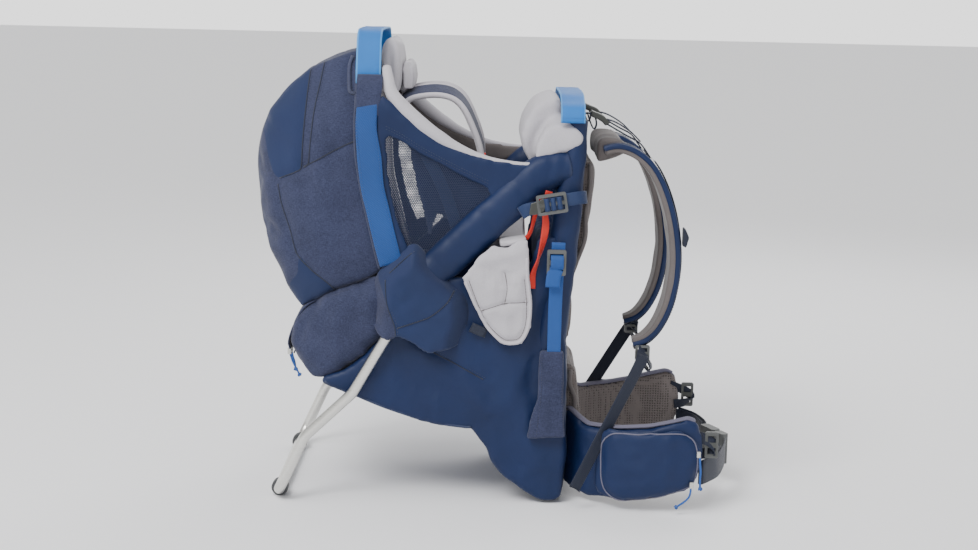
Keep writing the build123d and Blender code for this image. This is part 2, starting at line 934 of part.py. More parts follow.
def corner_radii(route):
    """0.45 of the shorter run beside each corner, over the tangent of half its turn."""
    points = [Vector(*point) for point in route]
    radii = []
    for before, corner, after in zip(points, points[1:], points[2:]):
        turn = math.radians((corner - before).get_angle(after - corner))
        shorter = min((corner - before).length, (after - corner).length)
        radii.append(0.45 * shorter / math.tan(turn / 2))
    return radii


def pull_cord(route, name):
    """A cord's plain tube, and its name."""
    radii = corner_radii(route)
    cord = tube(route, radii, CORD_D)
    print(name, "radii", [round(radius, 1) for radius in radii], "mm")
    return cord


HIP_UPPER_CORD = [
    (302, -189, 87.5),
    (302.5, -190, 78),
    (304, -190.5, 66),
    (303, -190, 54),
    (304, -189, 42),
]
HIP_LOWER_CORD = [
    (290, -191.5, 41.2),
    (290, -192.5, 34),
    (287, -192, 26),
    (280, -191, 19),
    (271, -191, 13),
]
REAR_CORD_R = [
    (-313.5, -96, 209.6),
    (-311, -98, 202),
    (-307, -101.5, 195),
    (-302.5, -105, 188.5),
    (-299, -107.5, 182.5),
]
REAR_CORD_L = [
    (-313.5, -78, 209.6),
    (-312, -76.5, 202),
    (-310, -73.5, 195),
    (-309, -70, 188),
    (-309, -66.5, 181.5),
]
hip_upper_cord = pull_cord(HIP_UPPER_CORD, "hip upper")
hip_lower_cord = pull_cord(HIP_LOWER_CORD, "hip lower")
save(hip_upper_cord, "hip_cord_upper_R")
save(hip_lower_cord, "hip_cord_lower_R")
save(other_side(hip_upper_cord), "hip_cord_upper_L")
save(other_side(hip_lower_cord), "hip_cord_lower_L")
save(pull_cord(REAR_CORD_R, "rear right"), "rear_cord_R")
save(pull_cord(REAR_CORD_L, "rear left"), "rear_cord_L")
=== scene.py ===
import math

import bpy
import numpy as np
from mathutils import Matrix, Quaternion, Vector, noise
from mathutils.bvhtree import BVHTree


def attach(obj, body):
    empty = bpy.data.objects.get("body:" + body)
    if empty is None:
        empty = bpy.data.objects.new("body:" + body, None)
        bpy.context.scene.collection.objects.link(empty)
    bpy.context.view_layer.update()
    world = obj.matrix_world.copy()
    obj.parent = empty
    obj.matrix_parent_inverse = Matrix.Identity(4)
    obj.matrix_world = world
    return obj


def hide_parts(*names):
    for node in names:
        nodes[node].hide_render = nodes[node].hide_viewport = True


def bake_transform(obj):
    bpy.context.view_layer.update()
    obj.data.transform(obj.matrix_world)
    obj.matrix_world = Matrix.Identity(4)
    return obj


# The looks of a child carrier worn as a backpack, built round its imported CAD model.
# Lists of points are in millimetres, (X, Z) for side outlines, and everything made is in metres.
# Right-hand pieces are at negative Y, and a Mirror modifier makes the left-hand ones.

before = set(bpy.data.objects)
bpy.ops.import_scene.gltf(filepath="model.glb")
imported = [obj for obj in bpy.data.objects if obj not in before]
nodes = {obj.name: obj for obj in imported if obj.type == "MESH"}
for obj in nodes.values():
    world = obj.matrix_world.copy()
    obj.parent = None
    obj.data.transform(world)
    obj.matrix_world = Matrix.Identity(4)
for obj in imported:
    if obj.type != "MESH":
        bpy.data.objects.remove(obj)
scene = bpy.context.scene
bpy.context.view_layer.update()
MM = 0.001


# ------------------------------------------------------------------ camera
TARGET = Vector((-0.015, 0, 0.322))
DISTANCE = 2.6
ELEVATION = math.radians(9.5)
ROLL = math.radians(1.3)
LENS = 61.25
camera = bpy.data.objects.new("camera", bpy.data.cameras.new("camera"))
scene.collection.objects.link(camera)
scene.camera = camera
back = Vector((0, -math.cos(ELEVATION), math.sin(ELEVATION)))
camera.location = TARGET + back * DISTANCE
camera.rotation_mode = "QUATERNION"
camera.rotation_quaternion = (-back).to_track_quat("-Z", "Y") @ Quaternion((0, 0, 1), ROLL)
camera.data.lens = LENS
camera.data.sensor_width = 36


# ------------------------------------------------------------------ materials
def srgb(*values):
    """A colour from 0 to 255 values, as linear light."""
    out = []
    for v in values:
        v = v / 255
        out.append(v / 12.92 if v <= 0.04045 else ((v + 0.055) / 1.055) ** 2.4)
    return (*out, 1)


class Look:
    """A node material that is built step by step."""

    def __init__(self, name, rough, **sockets):
        self.material = bpy.data.materials.new(name)
        self.material.use_nodes = True
        self.tree = self.material.node_tree
        self.shader = self.tree.nodes["Principled BSDF"]
        self.put(self.shader.inputs["Roughness"], rough)
        for socket, value in sockets.items():
            self.put(self.shader.inputs[socket.replace("_", " ")], value)
        place = self.tree.nodes.new("ShaderNodeTexCoord")
        self.object_place = place.outputs["Object"]

    def put(self, socket, value):
        if isinstance(value, bpy.types.NodeSocket):
            self.tree.links.new(value, socket)
        else:
            socket.default_value = value

    def node(self, kind, links, **props):
        n = self.tree.nodes.new("ShaderNode" + kind)
        for key, value in props.items():
            setattr(n, key, value)
        for socket, value in links.items():
            self.put(n.inputs[socket], value)
        return n

    def attribute(self, name, output="Vector"):
        return self.node("Attribute", {}, attribute_name=name).outputs[output]

    def stretched(self, place, scale, turn=0):
        return self.node("Mapping", {0: place, 2: (0, 0, turn), 3: scale}).outputs[0]

    def noise(self, place, scale, detail=2.0):
        return self.node("TexNoise", {"Vector": place, "Scale": scale, "Detail": detail}).outputs[0]

    def waves(self, place, period, axis="X"):
        return self.node(
            "TexWave", {"Vector": place, "Scale": 0.314 / period, "Distortion": 0.0}, bands_direction=axis
        ).outputs["Fac"]

    def math(self, what, a, b=0.0, c=0.0):
        return self.node("Math", {0: a, 1: b, 2: c}, operation=what).outputs[0]

    def ramp(self, value, low, high):
        """0 below low, 1 above high."""
        return self.node("MapRange", {0: value, 1: low, 2: high}).outputs[0]

    def mix(self, share, a, b, how="MIX"):
        return self.node("Mix", {0: share, 6: a, 7: b}, data_type="RGBA", blend_type=how).outputs[2]

    def bump(self, height, strength, distance, under=None):
        links = {"Strength": strength, "Distance": distance, "Height": height}
        if under:
            links["Normal"] = under
        return self.node("Bump", links).outputs[0]

    def finish(self, colour, normal=None):
        self.put(self.shader.inputs["Base Color"], colour)
        if normal:
            self.put(self.shader.inputs["Normal"], normal)
        return self.material


def shade(look, place, colour, spread):
    """A colour that drifts slowly over the surface."""
    drift = look.ramp(look.noise(place, 9, 3), 0.3, 0.7)
    low = tuple(c * (1 - spread) for c in colour[:3]) + (1,)
    high = tuple(c * (1 + spread) for c in colour[:3]) + (1,)
    return look.mix(drift, low, high)


def threads(look, place, length=260, width=1500):
    """Crossed yarns, as two noises drawn out along the warp and the weft."""
    weft = look.noise(look.stretched(place, (length, length, width)), 1, 1)
    warp = look.noise(look.stretched(place, (width, width, length)), 1, 1)
    return look.math("ADD", look.math("MULTIPLY", weft, 0.5), look.math("MULTIPLY", warp, 0.5))


def edge_wear_and_highlight(look, colour, amount):
    """Raised edges are painted a little paler: partly wear, partly a painted highlight along them."""
    edge = look.ramp(look.node("NewGeometry", {}).outputs["Pointiness"], 0.52, 0.6)
    pale = look.mix(0.3, colour, (0.5, 0.52, 0.56, 1))
    return look.mix(look.math("MULTIPLY", edge, amount), colour, pale)


def plain_cloth(name, colour, spread=0.12, rough=0.78, sheen=0.25, relief=0.3, yarn=(700, 2200)):
    look = Look(name, rough, Sheen_Weight=sheen, Sheen_Roughness=0.4, Specular_IOR_Level=0.3)
    yarns = threads(look, look.object_place, *yarn)
    tint = shade(look, look.object_place, colour, spread)
    # Where the yarns sink, the colour is made darker: painted shade between the yarns.
    tint = look.mix(look.ramp(yarns, 0.35, 0.65), look.mix(0.88, (0, 0, 0, 1), tint), tint)
    soft = look.bump(look.noise(look.object_place, 55, 2), 0.25, 0.003)
    normal = look.bump(yarns, relief, 0.0005, soft)
    return look.finish(edge_wear_and_highlight(look, tint, 0.25), normal)


def melange_tint(look, dark, pale):
    """Heathered cloth: pale and dark yarns side by side."""
    yarns = threads(look, look.object_place, 260, 1700)
    patch = look.math("MULTIPLY", look.noise(look.object_place, 30, 3), 0.25)
    share = look.ramp(look.math("ADD", yarns, patch), 0.45, 0.8)
    return look.mix(share, dark, pale), yarns


NAVY = srgb(11, 31, 69)
MELANGE_DARK = srgb(14, 22, 50)
MELANGE_PALE = srgb(48, 54, 84)


def bag_cloth(name, has_panels):
    """Heathered cloth, with smooth navy where the attribute 'panel' is above zero."""
    look = Look(name, 0.85, Sheen_Weight=0.12, Sheen_Roughness=0.45)
    tint, yarns = melange_tint(look, MELANGE_DARK, MELANGE_PALE)
    if has_panels:
        inside = look.ramp(look.attribute("panel", "Fac"), -0.0004, 0.0004)
        smooth = shade(look, look.object_place, NAVY, 0.12)
        tint = look.mix(inside, tint, smooth)
    soft = look.bump(look.noise(look.object_place, 60, 2), 0.25, 0.003)
    return look.finish(edge_wear_and_highlight(look, tint, 0.2), look.bump(yarns, 0.4, 0.0006, soft))


def webbing_cloth(name, colour, pitch=0.0026, relief=0.6, edge=0.017, edge_tint=None):
    """Woven tape: diagonal ribs from the attribute 'weave', which holds the way along and across."""
    look = Look(name, 0.62, Sheen_Weight=0.2, Sheen_Roughness=0.35)
    place = look.attribute("weave")
    ribs = look.waves(look.stretched(place, (1, 1, 1), 0.9), pitch)
    fine = look.waves(look.stretched(place, (1, 1, 1), -0.9), pitch / 3)
    tint = shade(look, look.object_place, colour, 0.1)
    # The tape is made darker in the hollows between its ribs: painted shade.
    tint = look.mix(look.ramp(ribs, 0.1, 0.9), look.mix(0.8, (0, 0, 0, 1), tint), tint)
    if edge_tint:
        across = look.node("SeparateXYZ", {0: place}).outputs[1]
        out = look.ramp(look.math("ABSOLUTE", across), edge - 0.0006, edge)
        tint = look.mix(out, tint, edge_tint)
    normal = look.bump(ribs, relief, 0.0005, look.bump(fine, 0.3, 0.0002))
    return look.finish(tint, normal)


def moulded(name, colour, rough=0.42):
    look = Look(name, rough, Coat_Weight=0.05)
    grain = look.noise(look.object_place, 1800, 2)
    tint = shade(look, look.object_place, colour, 0.08)
    return look.finish(edge_wear_and_highlight(look, tint, 0.35), look.bump(grain, 0.12, 0.0002))


def metal(name, colour, rough, streak=(40, 40, 900)):
    look = Look(name, rough, Metallic=1.0)
    lines = look.noise(look.stretched(look.object_place, streak), 1, 2)
    tint = look.mix(look.ramp(lines, 0.3, 0.7), tuple(c * 0.9 for c in colour[:3]) + (1,), colour)
    spread = look.math("MULTIPLY", lines, 0.16)
    look.put(look.shader.inputs["Roughness"], look.math("ADD", spread, rough - 0.08))
    return look.finish(tint, look.bump(lines, 0.06, 0.0002))


def perforated(name, colour, pitch):
    """Knitted spacer mesh: rows of small dark holes."""
    look = Look(name, 0.9, Sheen_Weight=0.2, Sheen_Roughness=0.5)
    place = look.node("VectorMath", {0: look.object_place, 1: (0.0007, 0.0004, 0)}).outputs[0]
    cells = look.node("TexVoronoi", {"Vector": place, "Scale": 1 / pitch, "Randomness": 0.12})
    hole = look.ramp(cells.outputs["Distance"], 0.2, 0.42)
    tint = shade(look, look.object_place, colour, 0.1)
    # The holes are made darker in the colour: painted shade inside them.
    tint = look.mix(hole, look.mix(0.35, (0, 0, 0, 1), tint), tint)
    return look.finish(tint, look.bump(hole, 0.7, 0.001))


LOOKS = {
    "navy": plain_cloth("navy_cloth", NAVY, 0.16, 0.52, 0.03, 0.25),
    "melange": bag_cloth("melange_cloth", False),
    "bag": bag_cloth("bag_cloth", True),
    "grey": plain_cloth("grey_knit", srgb(184, 181, 187), 0.06, 0.9, 0.25, 0.5, (500, 1500)),
    "binding": plain_cloth("grey_binding", srgb(188, 184, 190), 0.05, 0.85, 0.2, 0.5, (500, 1500)),
    "warm": plain_cloth("warm_grey_knit", srgb(100, 94, 93), 0.08, 0.9, 0.2, 0.5, (500, 1500)),
    "holes": perforated("warm_grey_mesh", srgb(108, 100, 98), 0.0042),
    "net": plain_cloth("window_net", srgb(20, 34, 72), 0.1, 0.7, 0.05, 0.2),
    "blue": webbing_cloth("blue_webbing", srgb(0, 66, 134), 0.0026, 1.0),
    "handle": webbing_cloth("blue_handle", srgb(10, 106, 184), 0.0012, 0.35, 0.0162, srgb(64, 140, 204)),
    "tape": webbing_cloth("blue_tape", srgb(0, 70, 142), 0.0016, 0.5),
    "deep": webbing_cloth("deep_blue_tape", srgb(8, 40, 84), 0.0016, 0.5),
    "dark": webbing_cloth("dark_webbing", srgb(3, 17, 42), 0.0020, 0.6),
    "red": webbing_cloth("red_webbing", srgb(205, 38, 18), 0.0014, 0.4),
    "plastic": moulded("olive_plastic", srgb(44, 46, 42)),
    "hub": moulded("hub_plastic", srgb(24, 25, 28), 0.5),
    "rubber": moulded("black_rubber", srgb(12, 12, 13), 0.75),
    "tube": metal("satin_aluminium", srgb(222, 221, 216), 0.3),
    "steel": metal("pin_steel", srgb(190, 190, 190), 0.3),
    "zip": metal("zip_metal", srgb(205, 205, 200), 0.35),
    "pull": plain_cloth("cord_cloth", srgb(8, 74, 150), 0.2, 0.7, 0.2, 0.6, (1200, 2600)),
    "thread": plain_cloth("navy_thread", srgb(14, 26, 54), 0.1, 0.6, 0.1, 0.2, (2000, 4000)),
    "pale_thread": plain_cloth("grey_thread", srgb(128, 124, 128), 0.1, 0.6, 0.1, 0.2, (2000, 4000)),
    "blue_thread": plain_cloth("blue_thread", srgb(6, 56, 112), 0.1, 0.6, 0.1, 0.2, (2000, 4000)),
    "seam": plain_cloth("navy_seam", srgb(12, 20, 40), 0.1, 0.8, 0.1, 0.4),
    "piping": plain_cloth("grey_piping", srgb(96, 94, 112), 0.08, 0.8, 0.1, 0.4),
}


# ------------------------------------------------------------------ shapes
def resample(points, step=None, count=None, closed=False):
    """Evenly spaced points on a smooth line through the given ones."""
    p = np.array(points, float)
    n = len(p)
    dense = []
    for i in range(n if closed else n - 1):
        b, c = p[i % n], p[(i + 1) % n]
        a = p[i - 1] if closed or i else 2 * b - c
        d = p[(i + 2) % n] if closed or i < n - 2 else 2 * c - b
        for t in np.linspace(0, 1, 12, endpoint=False):
            cubic = 3 * b - a - 3 * c + d
            dense.append(0.5 * (2 * b + (c - a) * t + (2 * a - 5 * b + 4 * c - d) * t * t + cubic * t**3))
    dense.append(p[0] if closed else p[-1])
    dense = np.array(dense)
    run = np.r_[0, np.cumsum(np.linalg.norm(np.diff(dense, axis=0), axis=1))]
    count = count or max(3, int(round(run[-1] / step)) + 1)
    at = np.linspace(0, run[-1], count)
    out = np.stack([np.interp(at, run, dense[:, k]) for k in range(p.shape[1])], 1)
    return out[:-1] if closed else out


def metres(points):
    """Points in millimetres, (X, Y, Z), in metres."""
    return [tuple(c * MM for c in p) for p in points]


def side(points, y):
    """Side points in millimetres, (X, Z), at one Y, in metres."""
    return metres([(x, y, z) for x, z in points])


def new_mesh(name, verts, faces, **attributes):
    mesh = bpy.data.meshes.new(name)
    mesh.from_pydata([tuple(map(float, v)) for v in verts], [], faces)
    mesh.update()
    for key, values in attributes.items():
        kind, field = ("FLOAT_VECTOR", "vector") if np.ndim(values) == 2 else ("FLOAT", "value")
        a = mesh.attributes.new(key, kind, "POINT")
        a.data.foreach_set(field, np.ravel(values).astype(np.float32))
    mesh.polygons.foreach_set("use_smooth", [True] * len(mesh.polygons))
    o = bpy.data.objects.new(name, mesh)
    scene.collection.objects.link(o)
    return o


def skin(rings):
    """Faces over rings of equal length, each ring closed, and over both ends."""
    n, m = len(rings), len(rings[0])
    faces = []
    for i in range(n - 1):
        for j in range(m):
            k = (j + 1) % m
            faces.append((i * m + j, i * m + k, (i + 1) * m + k, (i + 1) * m + j))
    faces.append(tuple(reversed(range(m))))
    faces.append(tuple((n - 1) * m + j for j in range(m)))
    return faces


def frames(line, wide):
    """Along, wide and outward directions at each point of a line."""
    along = np.gradient(line, axis=0)
    along /= np.linalg.norm(along, axis=1)[:, None]
    wide = np.array(wide, float)
    if wide.ndim == 1:
        wide = np.tile(wide, (len(line), 1))
    else:
        wide = resample(wide, count=len(line))
    out = np.cross(along, wide)
    out /= np.linalg.norm(out, axis=1)[:, None]
    wide = np.cross(out, along)
    return along, wide, out


def rounded(angle, power):
    """A point of a superellipse with both half sizes 1: a circle at power 1, and squarer below it."""
    c, s = math.cos(angle), math.sin(angle)
    return math.copysign(abs(c) ** power, c), math.copysign(abs(s) ** power, s)


def profile(kind, count=10):
    """A closed cross-section with both half sizes 1: 'round', 'padded', or 'flat' with soft edges."""
    if kind == "flat":
        half = [(-1, 0), (-0.985, 0.72), (-0.93, 1), (-0.5, 1), (0, 1), (0.5, 1), (0.93, 1), (0.985, 0.72)]
        return half + [(-x, -z) for x, z in half]
    power = 0.8 if kind == "padded" else 1
    return [rounded(a, power) for a in np.linspace(0, 2 * math.pi, 2 * count, endpoint=False)]


def sweep(name, route, width, thick, wide=(0, 1, 0), kind="flat", step=0.004, count=10):
    """A strap or roll along a route in metres. Width and thickness may be lists along it."""
    line = resample(route, step)
    n = len(line)
    widths = np.interp(np.linspace(0, 1, n), np.linspace(0, 1, np.size(width)), np.ravel(width)) / 2
    thicks = np.interp(np.linspace(0, 1, n), np.linspace(0, 1, np.size(thick)), np.ravel(thick)) / 2
    along, wides, outs = frames(line, wide)
    section = profile(kind, count)
    rings, weave, run = [], [], 0.0
    for i in range(n):
        run += np.linalg.norm(line[i] - line[i - 1]) if i else 0
        for x, z in section:
            rings.append(line[i] + wides[i] * x * widths[i] + outs[i] * z * thicks[i])
            across = x * widths[i] if kind == "flat" else math.atan2(z, x) * 0.0015
            weave.append((run, across, 0))
    return new_mesh(name, rings, skin(np.array(rings).reshape(n, len(section), 3)), weave=np.array(weave))


def prisms(name, parts):
    """Closed prisms in one mesh: each is a side outline in millimetres with its low and high Y."""
    verts, faces = [], []
    for outline, low, high in parts:
        area = sum(a[0] * b[1] - b[0] * a[1] for a, b in zip(outline, outline[1:] + outline[:1]))
        points = outline if area > 0 else outline[::-1]
        n, base = len(points), len(verts)
        verts += side(points, low) + side(points, high)
        faces.append(tuple(base + i for i in range(n)))
        faces.append(tuple(base + n + i for i in reversed(range(n))))
        faces += [(base + (i + 1) % n, base + i, base + n + i, base + n + (i + 1) % n) for i in range(n)]
    return new_mesh(name, verts, faces)


def bake(o):
    """Applies the modifiers."""
    made = bpy.data.meshes.new_from_object(o.evaluated_get(bpy.context.evaluated_depsgraph_get()))
    o.modifiers.clear()
    o.data = made
    return o


def carve(o, tool):
    m = o.modifiers.new("carve", "BOOLEAN")
    m.operation = "DIFFERENCE"
    m.object = tool
    bpy.context.view_layer.update()
    bake(o)
    bpy.data.objects.remove(tool)
    return o


def remesh(o, voxel, rounds, shape=None):
    """Even quads, edges rounded by smoothing, then moved by a shape function of x, y and z."""
    m = o.modifiers.new("even", "REMESH")
    m.mode = "VOXEL"
    m.voxel_size = voxel
    m.use_smooth_shade = True
    s = o.modifiers.new("soften", "SMOOTH")
    s.factor = 0.5
    s.iterations = rounds
    bake(o)
    if shape:
        co = points_of(o)
        move(o, np.array([shape(*p) for p in co]))
    return o


def points_of(o):
    co = np.zeros(len(o.data.vertices) * 3)
    o.data.vertices.foreach_get("co", co)
    return co.reshape(-1, 3)


def normals_of(o):
    out = np.zeros(len(o.data.vertices) * 3)
    o.data.vertices.foreach_get("normal", out)
    return out.reshape(-1, 3)


def move(o, co):
    o.data.vertices.foreach_set("co", np.ravel(co))
    o.data.update()


def distance_to(line, xz, closed=False):
    """Distance in metres from points (X, Z) to a polyline in metres."""
    p = np.array(line, float)
    if closed:
        p = np.vstack([p, p[:1]])
    best = np.full(len(xz), 1e9)
    for a, b in zip(p, p[1:]):
        d = b - a
        t = np.clip(((xz - a) @ d) / max(d @ d, 1e-12), 0, 1)
        best = np.minimum(best, np.linalg.norm(xz - (a + t[:, None] * d), axis=1))
    return best


def within(outline, xz):
    """Which points (X, Z) are inside a closed outline."""
    p = np.array(outline, float)
    inside = np.zeros(len(xz), bool)
    for (x1, z1), (x2, z2) in zip(p, np.roll(p, -1, 0)):
        crosses = (z1 > xz[:, 1]) != (z2 > xz[:, 1])
        at = x1 + (xz[:, 1] - z1) * (x2 - x1) / ((z2 - z1) or 1e-12)
        inside ^= crosses & (xz[:, 0] < at)
    return inside


def press(o, lines, width, depth, facing=0.3):
    """Sinks soft grooves (or raises folds, with a negative depth) along side lines in millimetres."""
    co, no = points_of(o), normals_of(o)
    sideways = np.clip((np.abs(no[:, 1]) - facing) / 0.3, 0, 1)
    for line in lines:
        d = distance_to(resample(np.array(line) * MM, 0.004), co[:, [0, 2]])
        co -= no * (depth * np.exp(-((d / width) ** 2)) * sideways)[:, None]
    move(o, co)
    return o


def crumple(o, size, height, stretch=(1, 1, 1), seed=0):
    """Soft folds: noise along the normals, with a crest like cloth that is slack."""
    co, no = points_of(o), normals_of(o)
    lift = []
    for x, y, z in co:
        p = Vector((x * stretch[0], y * stretch[1], z * stretch[2])) / size + Vector((seed, seed * 2, 0))
        n = noise.noise(p)
        lift.append((1 - abs(n) * 2.2) * 0.5 + noise.noise(p * 2.3) * 0.25)
    move(o, co + no * (np.array(lift) * height)[:, None])
    return o


def panel(o, outlines):
    """Signed distance into the outlines, so that the material changes cloth on a sharp line."""
    co = points_of(o)[:, [0, 2]]
    best = np.full(len(co), -1.0)
    for outline in outlines:
        edge = resample(np.array(outline) * MM, 0.004, closed=True)
        d = distance_to(edge, co, True)
        best = np.maximum(best, np.where(within(edge, co), d, -d))
    a = o.data.attributes.new("panel", "FLOAT", "POINT")
    a.data.foreach_set("value", best.astype(np.float32))
    return o


CLOTH_FRAMES = 20


def simulate(jobs):
    """Blows the pads up like stuffed cloth. A job is a piece, how far a point may go, and the pressure."""
    before = [points_of(o) for o, _, _ in jobs]
    for o, _, pressure in jobs:
        m = o.modifiers.new("cloth", "CLOTH")
        m.settings.quality = 4
        m.settings.mass = 0.3
        m.settings.tension_stiffness = 12
        m.settings.compression_stiffness = 12
        m.settings.bending_stiffness = 1.5
        m.settings.use_pressure = True
        m.settings.uniform_pressure_force = pressure
        m.settings.effector_weights.gravity = 0
        m.point_cache.frame_end = CLOTH_FRAMES
    for f in range(1, CLOTH_FRAMES + 1):
        scene.frame_set(f)
    graph = bpy.context.evaluated_depsgraph_get()
    after = []
    for o, _, _ in jobs:
        made = o.evaluated_get(graph).to_mesh()
        co = np.zeros(len(made.vertices) * 3)
        made.vertices.foreach_get("co", co)
        after.append(co.reshape(-1, 3))
        o.evaluated_get(graph).to_mesh_clear()
    scene.frame_set(1)
    for (o, cap, _), a, b in zip(jobs, before, after):
        o.modifiers.clear()
        d = b - a
        far = np.linalg.norm(d, axis=1)
        move(o, a + d * np.minimum(1, cap / np.maximum(far, 1e-9))[:, None])


def dress(o, look, body, replaces=(), mirror=False, subdivide=0):
    """Gives a piece its material and its body, and hides the CAD nodes it stands for.

    A piece between two bodies has no body here.
    """
    looks = [look] if isinstance(look, str) else look
    for one in looks:
        o.data.materials.append(LOOKS[one])
    if mirror:
        m = o.modifiers.new("other_side", "MIRROR")
        m.use_axis = (False, True, False)
        m.use_mirror_merge = False
    if subdivide:
        m = o.modifiers.new("smooth", "SUBSURF")
        m.levels = m.render_levels = subdivide
    if body:
        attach(o, body)
    if replaces:
        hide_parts(*replaces)
    return o


def strap(
    name, route, width, thick, look, body="frame", wide=(0, 1, 0), node=None, mirror=True, step=0.004
):
    """A flat strap along a route in metres, with its material and body."""
    o = sweep(name, route, width, thick, wide, step=step)
    return dress(o, look, body, [node] if node else (), mirror=mirror)


def roll(name, route, size, look, body="frame", wide=(0, 1, 0), step=0.006, subdivide=1):
    """A thin round roll, such as a bound edge, on both sides. Its size is its width and its thickness."""
    o = sweep(name, route, *size, wide, "round", step, 6)
    return dress(o, look, body, mirror=True, subdivide=subdivide)


def between(
    name, route, width, wide=(0, 1, 0), node=None, mirror=True, thick=0.002, step=0.004
):
    """A dark strap from the frame to another body. It is given no body."""
    o = strap(name, route, width, thick, "dark", None, wide, node, mirror, step)
    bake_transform(o)
    return o


def other_side(o, name):
    """A copy at the other side of the XZ plane."""
    copy = o.copy()
    copy.data = o.data.copy()
    copy.name = name
    scene.collection.objects.link(copy)
    co = points_of(copy)
    co[:, 1] *= -1
    move(copy, co)
    copy.data.flip_normals()
    return copy


def bvh(o):
    """The piece's own surface, modifiers included."""
    return BVHTree.FromObject(o, bpy.context.evaluated_depsgraph_get())


def laid_on(tree, line, step=0.003, lift=0.0004):
    """A side line in millimetres, laid on a surface as seen from the right."""
    out = []
    for x, z in resample(np.array(line) * MM, step):
        hit, normal, _, _ = tree.ray_cast(Vector((x, -1, z)), Vector((0, 1, 0)))
        if hit is not None:
            out.append(np.array(hit + normal * lift))
    return out


STITCH_R = 0.00045
stitches = {}


def stitch(line, body, thread="thread", pitch=0.0042, length=0.0028):
    """Notes a row of stitches along 3-D points. They are made together at the end."""
    if len(line) > 2:
        stitches.setdefault((body, thread), []).append((resample(line, pitch), length))


def make_stitches():
    for (body, thread), rows in stitches.items():
        verts, faces = [], []
        for row, length in rows:
            ways = np.gradient(row, axis=0)
            for p, way in zip(row, ways):
                way = way / np.linalg.norm(way)
                across = np.cross(way, (0.31, 0.82, 0.48))
                across /= np.linalg.norm(across)
                up = np.cross(way, across)
                base = len(verts)
                ring = [across * STITCH_R, up * STITCH_R, -across * STITCH_R, -up * STITCH_R]
                verts += [p - way * length / 2] + [p + q for q in ring] + [p + way * length / 2]
                for k in range(4):
                    faces.append((base, base + 1 + (k + 1) % 4, base + 1 + k))
                    faces.append((base + 5, base + 1 + k, base + 1 + (k + 1) % 4))
        o = new_mesh("stitching_" + body + "_" + thread, verts, faces)
        dress(o, thread, body, mirror=True)


def welt(name, line, body, look="seam", size=0.0016):
    """A thin sewn edge or piping along 3-D points."""
    o = sweep(name, line, size, size, (0.3, 1, 0.2), "round", 0.003, 4)
    return dress(o, look, body, mirror=True)


def seam(name, tree, line, look="seam", size=0.0016, beside=(0.003, 0, 0.002)):
    """A sewn edge laid on a surface, and stitches beside it."""
    on = laid_on(tree, line)
    welt(name, on, "frame", look, size)
    stitch([p + beside for p in on], "frame")


# ------------------------------------------------------------------ cords
# Zip pulls: each hangs from its slider and ends in a knot. These are part.py's routes.
CORDS = {
    "hip_cord_upper": [
        (302, -189, 87.5), (302.5, -190, 78), (304, -190.5, 66), (303, -190, 54), (304, -189, 42),
    ],
    "hip_cord_lower": [
        (290, -191.5, 41.2), (290, -192.5, 34), (287, -192, 26), (280, -191, 19), (271, -191, 13),
    ],
    "rear_cord_R": [
        (-313.5, -96, 209.6), (-311, -98, 202), (-307, -101.5, 195), (-302.5, -105, 188.5),
        (-299, -107.5, 182.5),
    ],
    "rear_cord_L": [
        (-313.5, -78, 209.6), (-312, -76.5, 202), (-310, -73.5, 195), (-309, -70, 188),
        (-309, -66.5, 181.5),
    ],
}
CORD_D = 0.003
KNOT_R = 0.0013


def knot(name, at, way):
    """An overhand knot: a trefoil tube round the cord's end."""
    way = Vector(way).normalized()
    across = way.cross(Vector((0.2, 1, 0.1))).normalized()
    up = way.cross(across)
    loop = []
    for a in np.linspace(0, 2 * math.pi, 40, endpoint=False):
        r = KNOT_R * (2 + math.cos(3 * a)) * 0.62
        x, y, z = r * math.cos(2 * a), r * math.sin(2 * a), KNOT_R * math.sin(3 * a)
        loop.append(Vector(at) + across * x + up * y + way * (z + 0.002))
    loop.append(loop[0])
    return sweep(name, [tuple(p) for p in loop], 0.0026, 0.0026, tuple(up), "round", 0.0009, 4)


def cord(name, node, route, body):
    curve = bpy.data.curves.new(name, "CURVE")
    curve.dimensions = "3D"
    spline = curve.splines.new("NURBS")
    spline.points.add(len(route) - 1)
    for point, place in zip(spline.points, route):
        point.co = (*[c * MM for c in place], 1)
    spline.order_u = 3
    spline.use_endpoint_u = True
    bare = bpy.data.objects.new(name + "_line", curve)
    scene.collection.objects.link(bare)
    line = bpy.data.meshes.new_from_object(bare.evaluated_get(bpy.context.evaluated_depsgraph_get()))
    points = [v.co.copy() for v in line.vertices]
    bpy.data.objects.remove(bare)
    curve.bevel_depth = CORD_D / 2
    curve.bevel_resolution = 3
    curve.use_fill_caps = True
    o = bpy.data.objects.new(name, curve)
    scene.collection.objects.link(o)
    o.data.materials.append(LOOKS["pull"])
    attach(o, body)
    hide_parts(node)
    end = knot(name + "_knot", points[-1], points[-1] - points[-2])
    dress(end, "pull", body)


for name, route in CORDS.items():
    if name.startswith("rear"):
        cord(name + "_pull", name, route, "frame")
        continue
    cord(name + "_R_pull", name + "_R", route, "frame")
    cord(name + "_L_pull", name + "_L", [(x, -y, z) for x, y, z in route], "frame")


# ------------------------------------------------------------------ stuffed pieces, before the simulation
BAG = [
    (-200, 674), (-235, 663), (-279, 641), (-309, 617), (-339, 579), (-357, 533), (-362, 486),
    (-357, 432), (-340, 371), (-316, 325), (-292, 285), (-277, 299), (-256, 309), (-234, 318),
    (-202, 330), (-172, 344), (-176, 400), (-188, 480), (-192, 560), (-188, 640),
]
POCKET = [
    (-172, 343), (-202, 329), (-234, 318), (-258, 306), (-293, 282), (-309, 258), (-312, 232),
    (-300, 218), (-290, 200), (-276, 184), (-260, 184), (-229, 200), (-200, 220), (-176, 244),
    (-150, 268), (-160, 306),
]


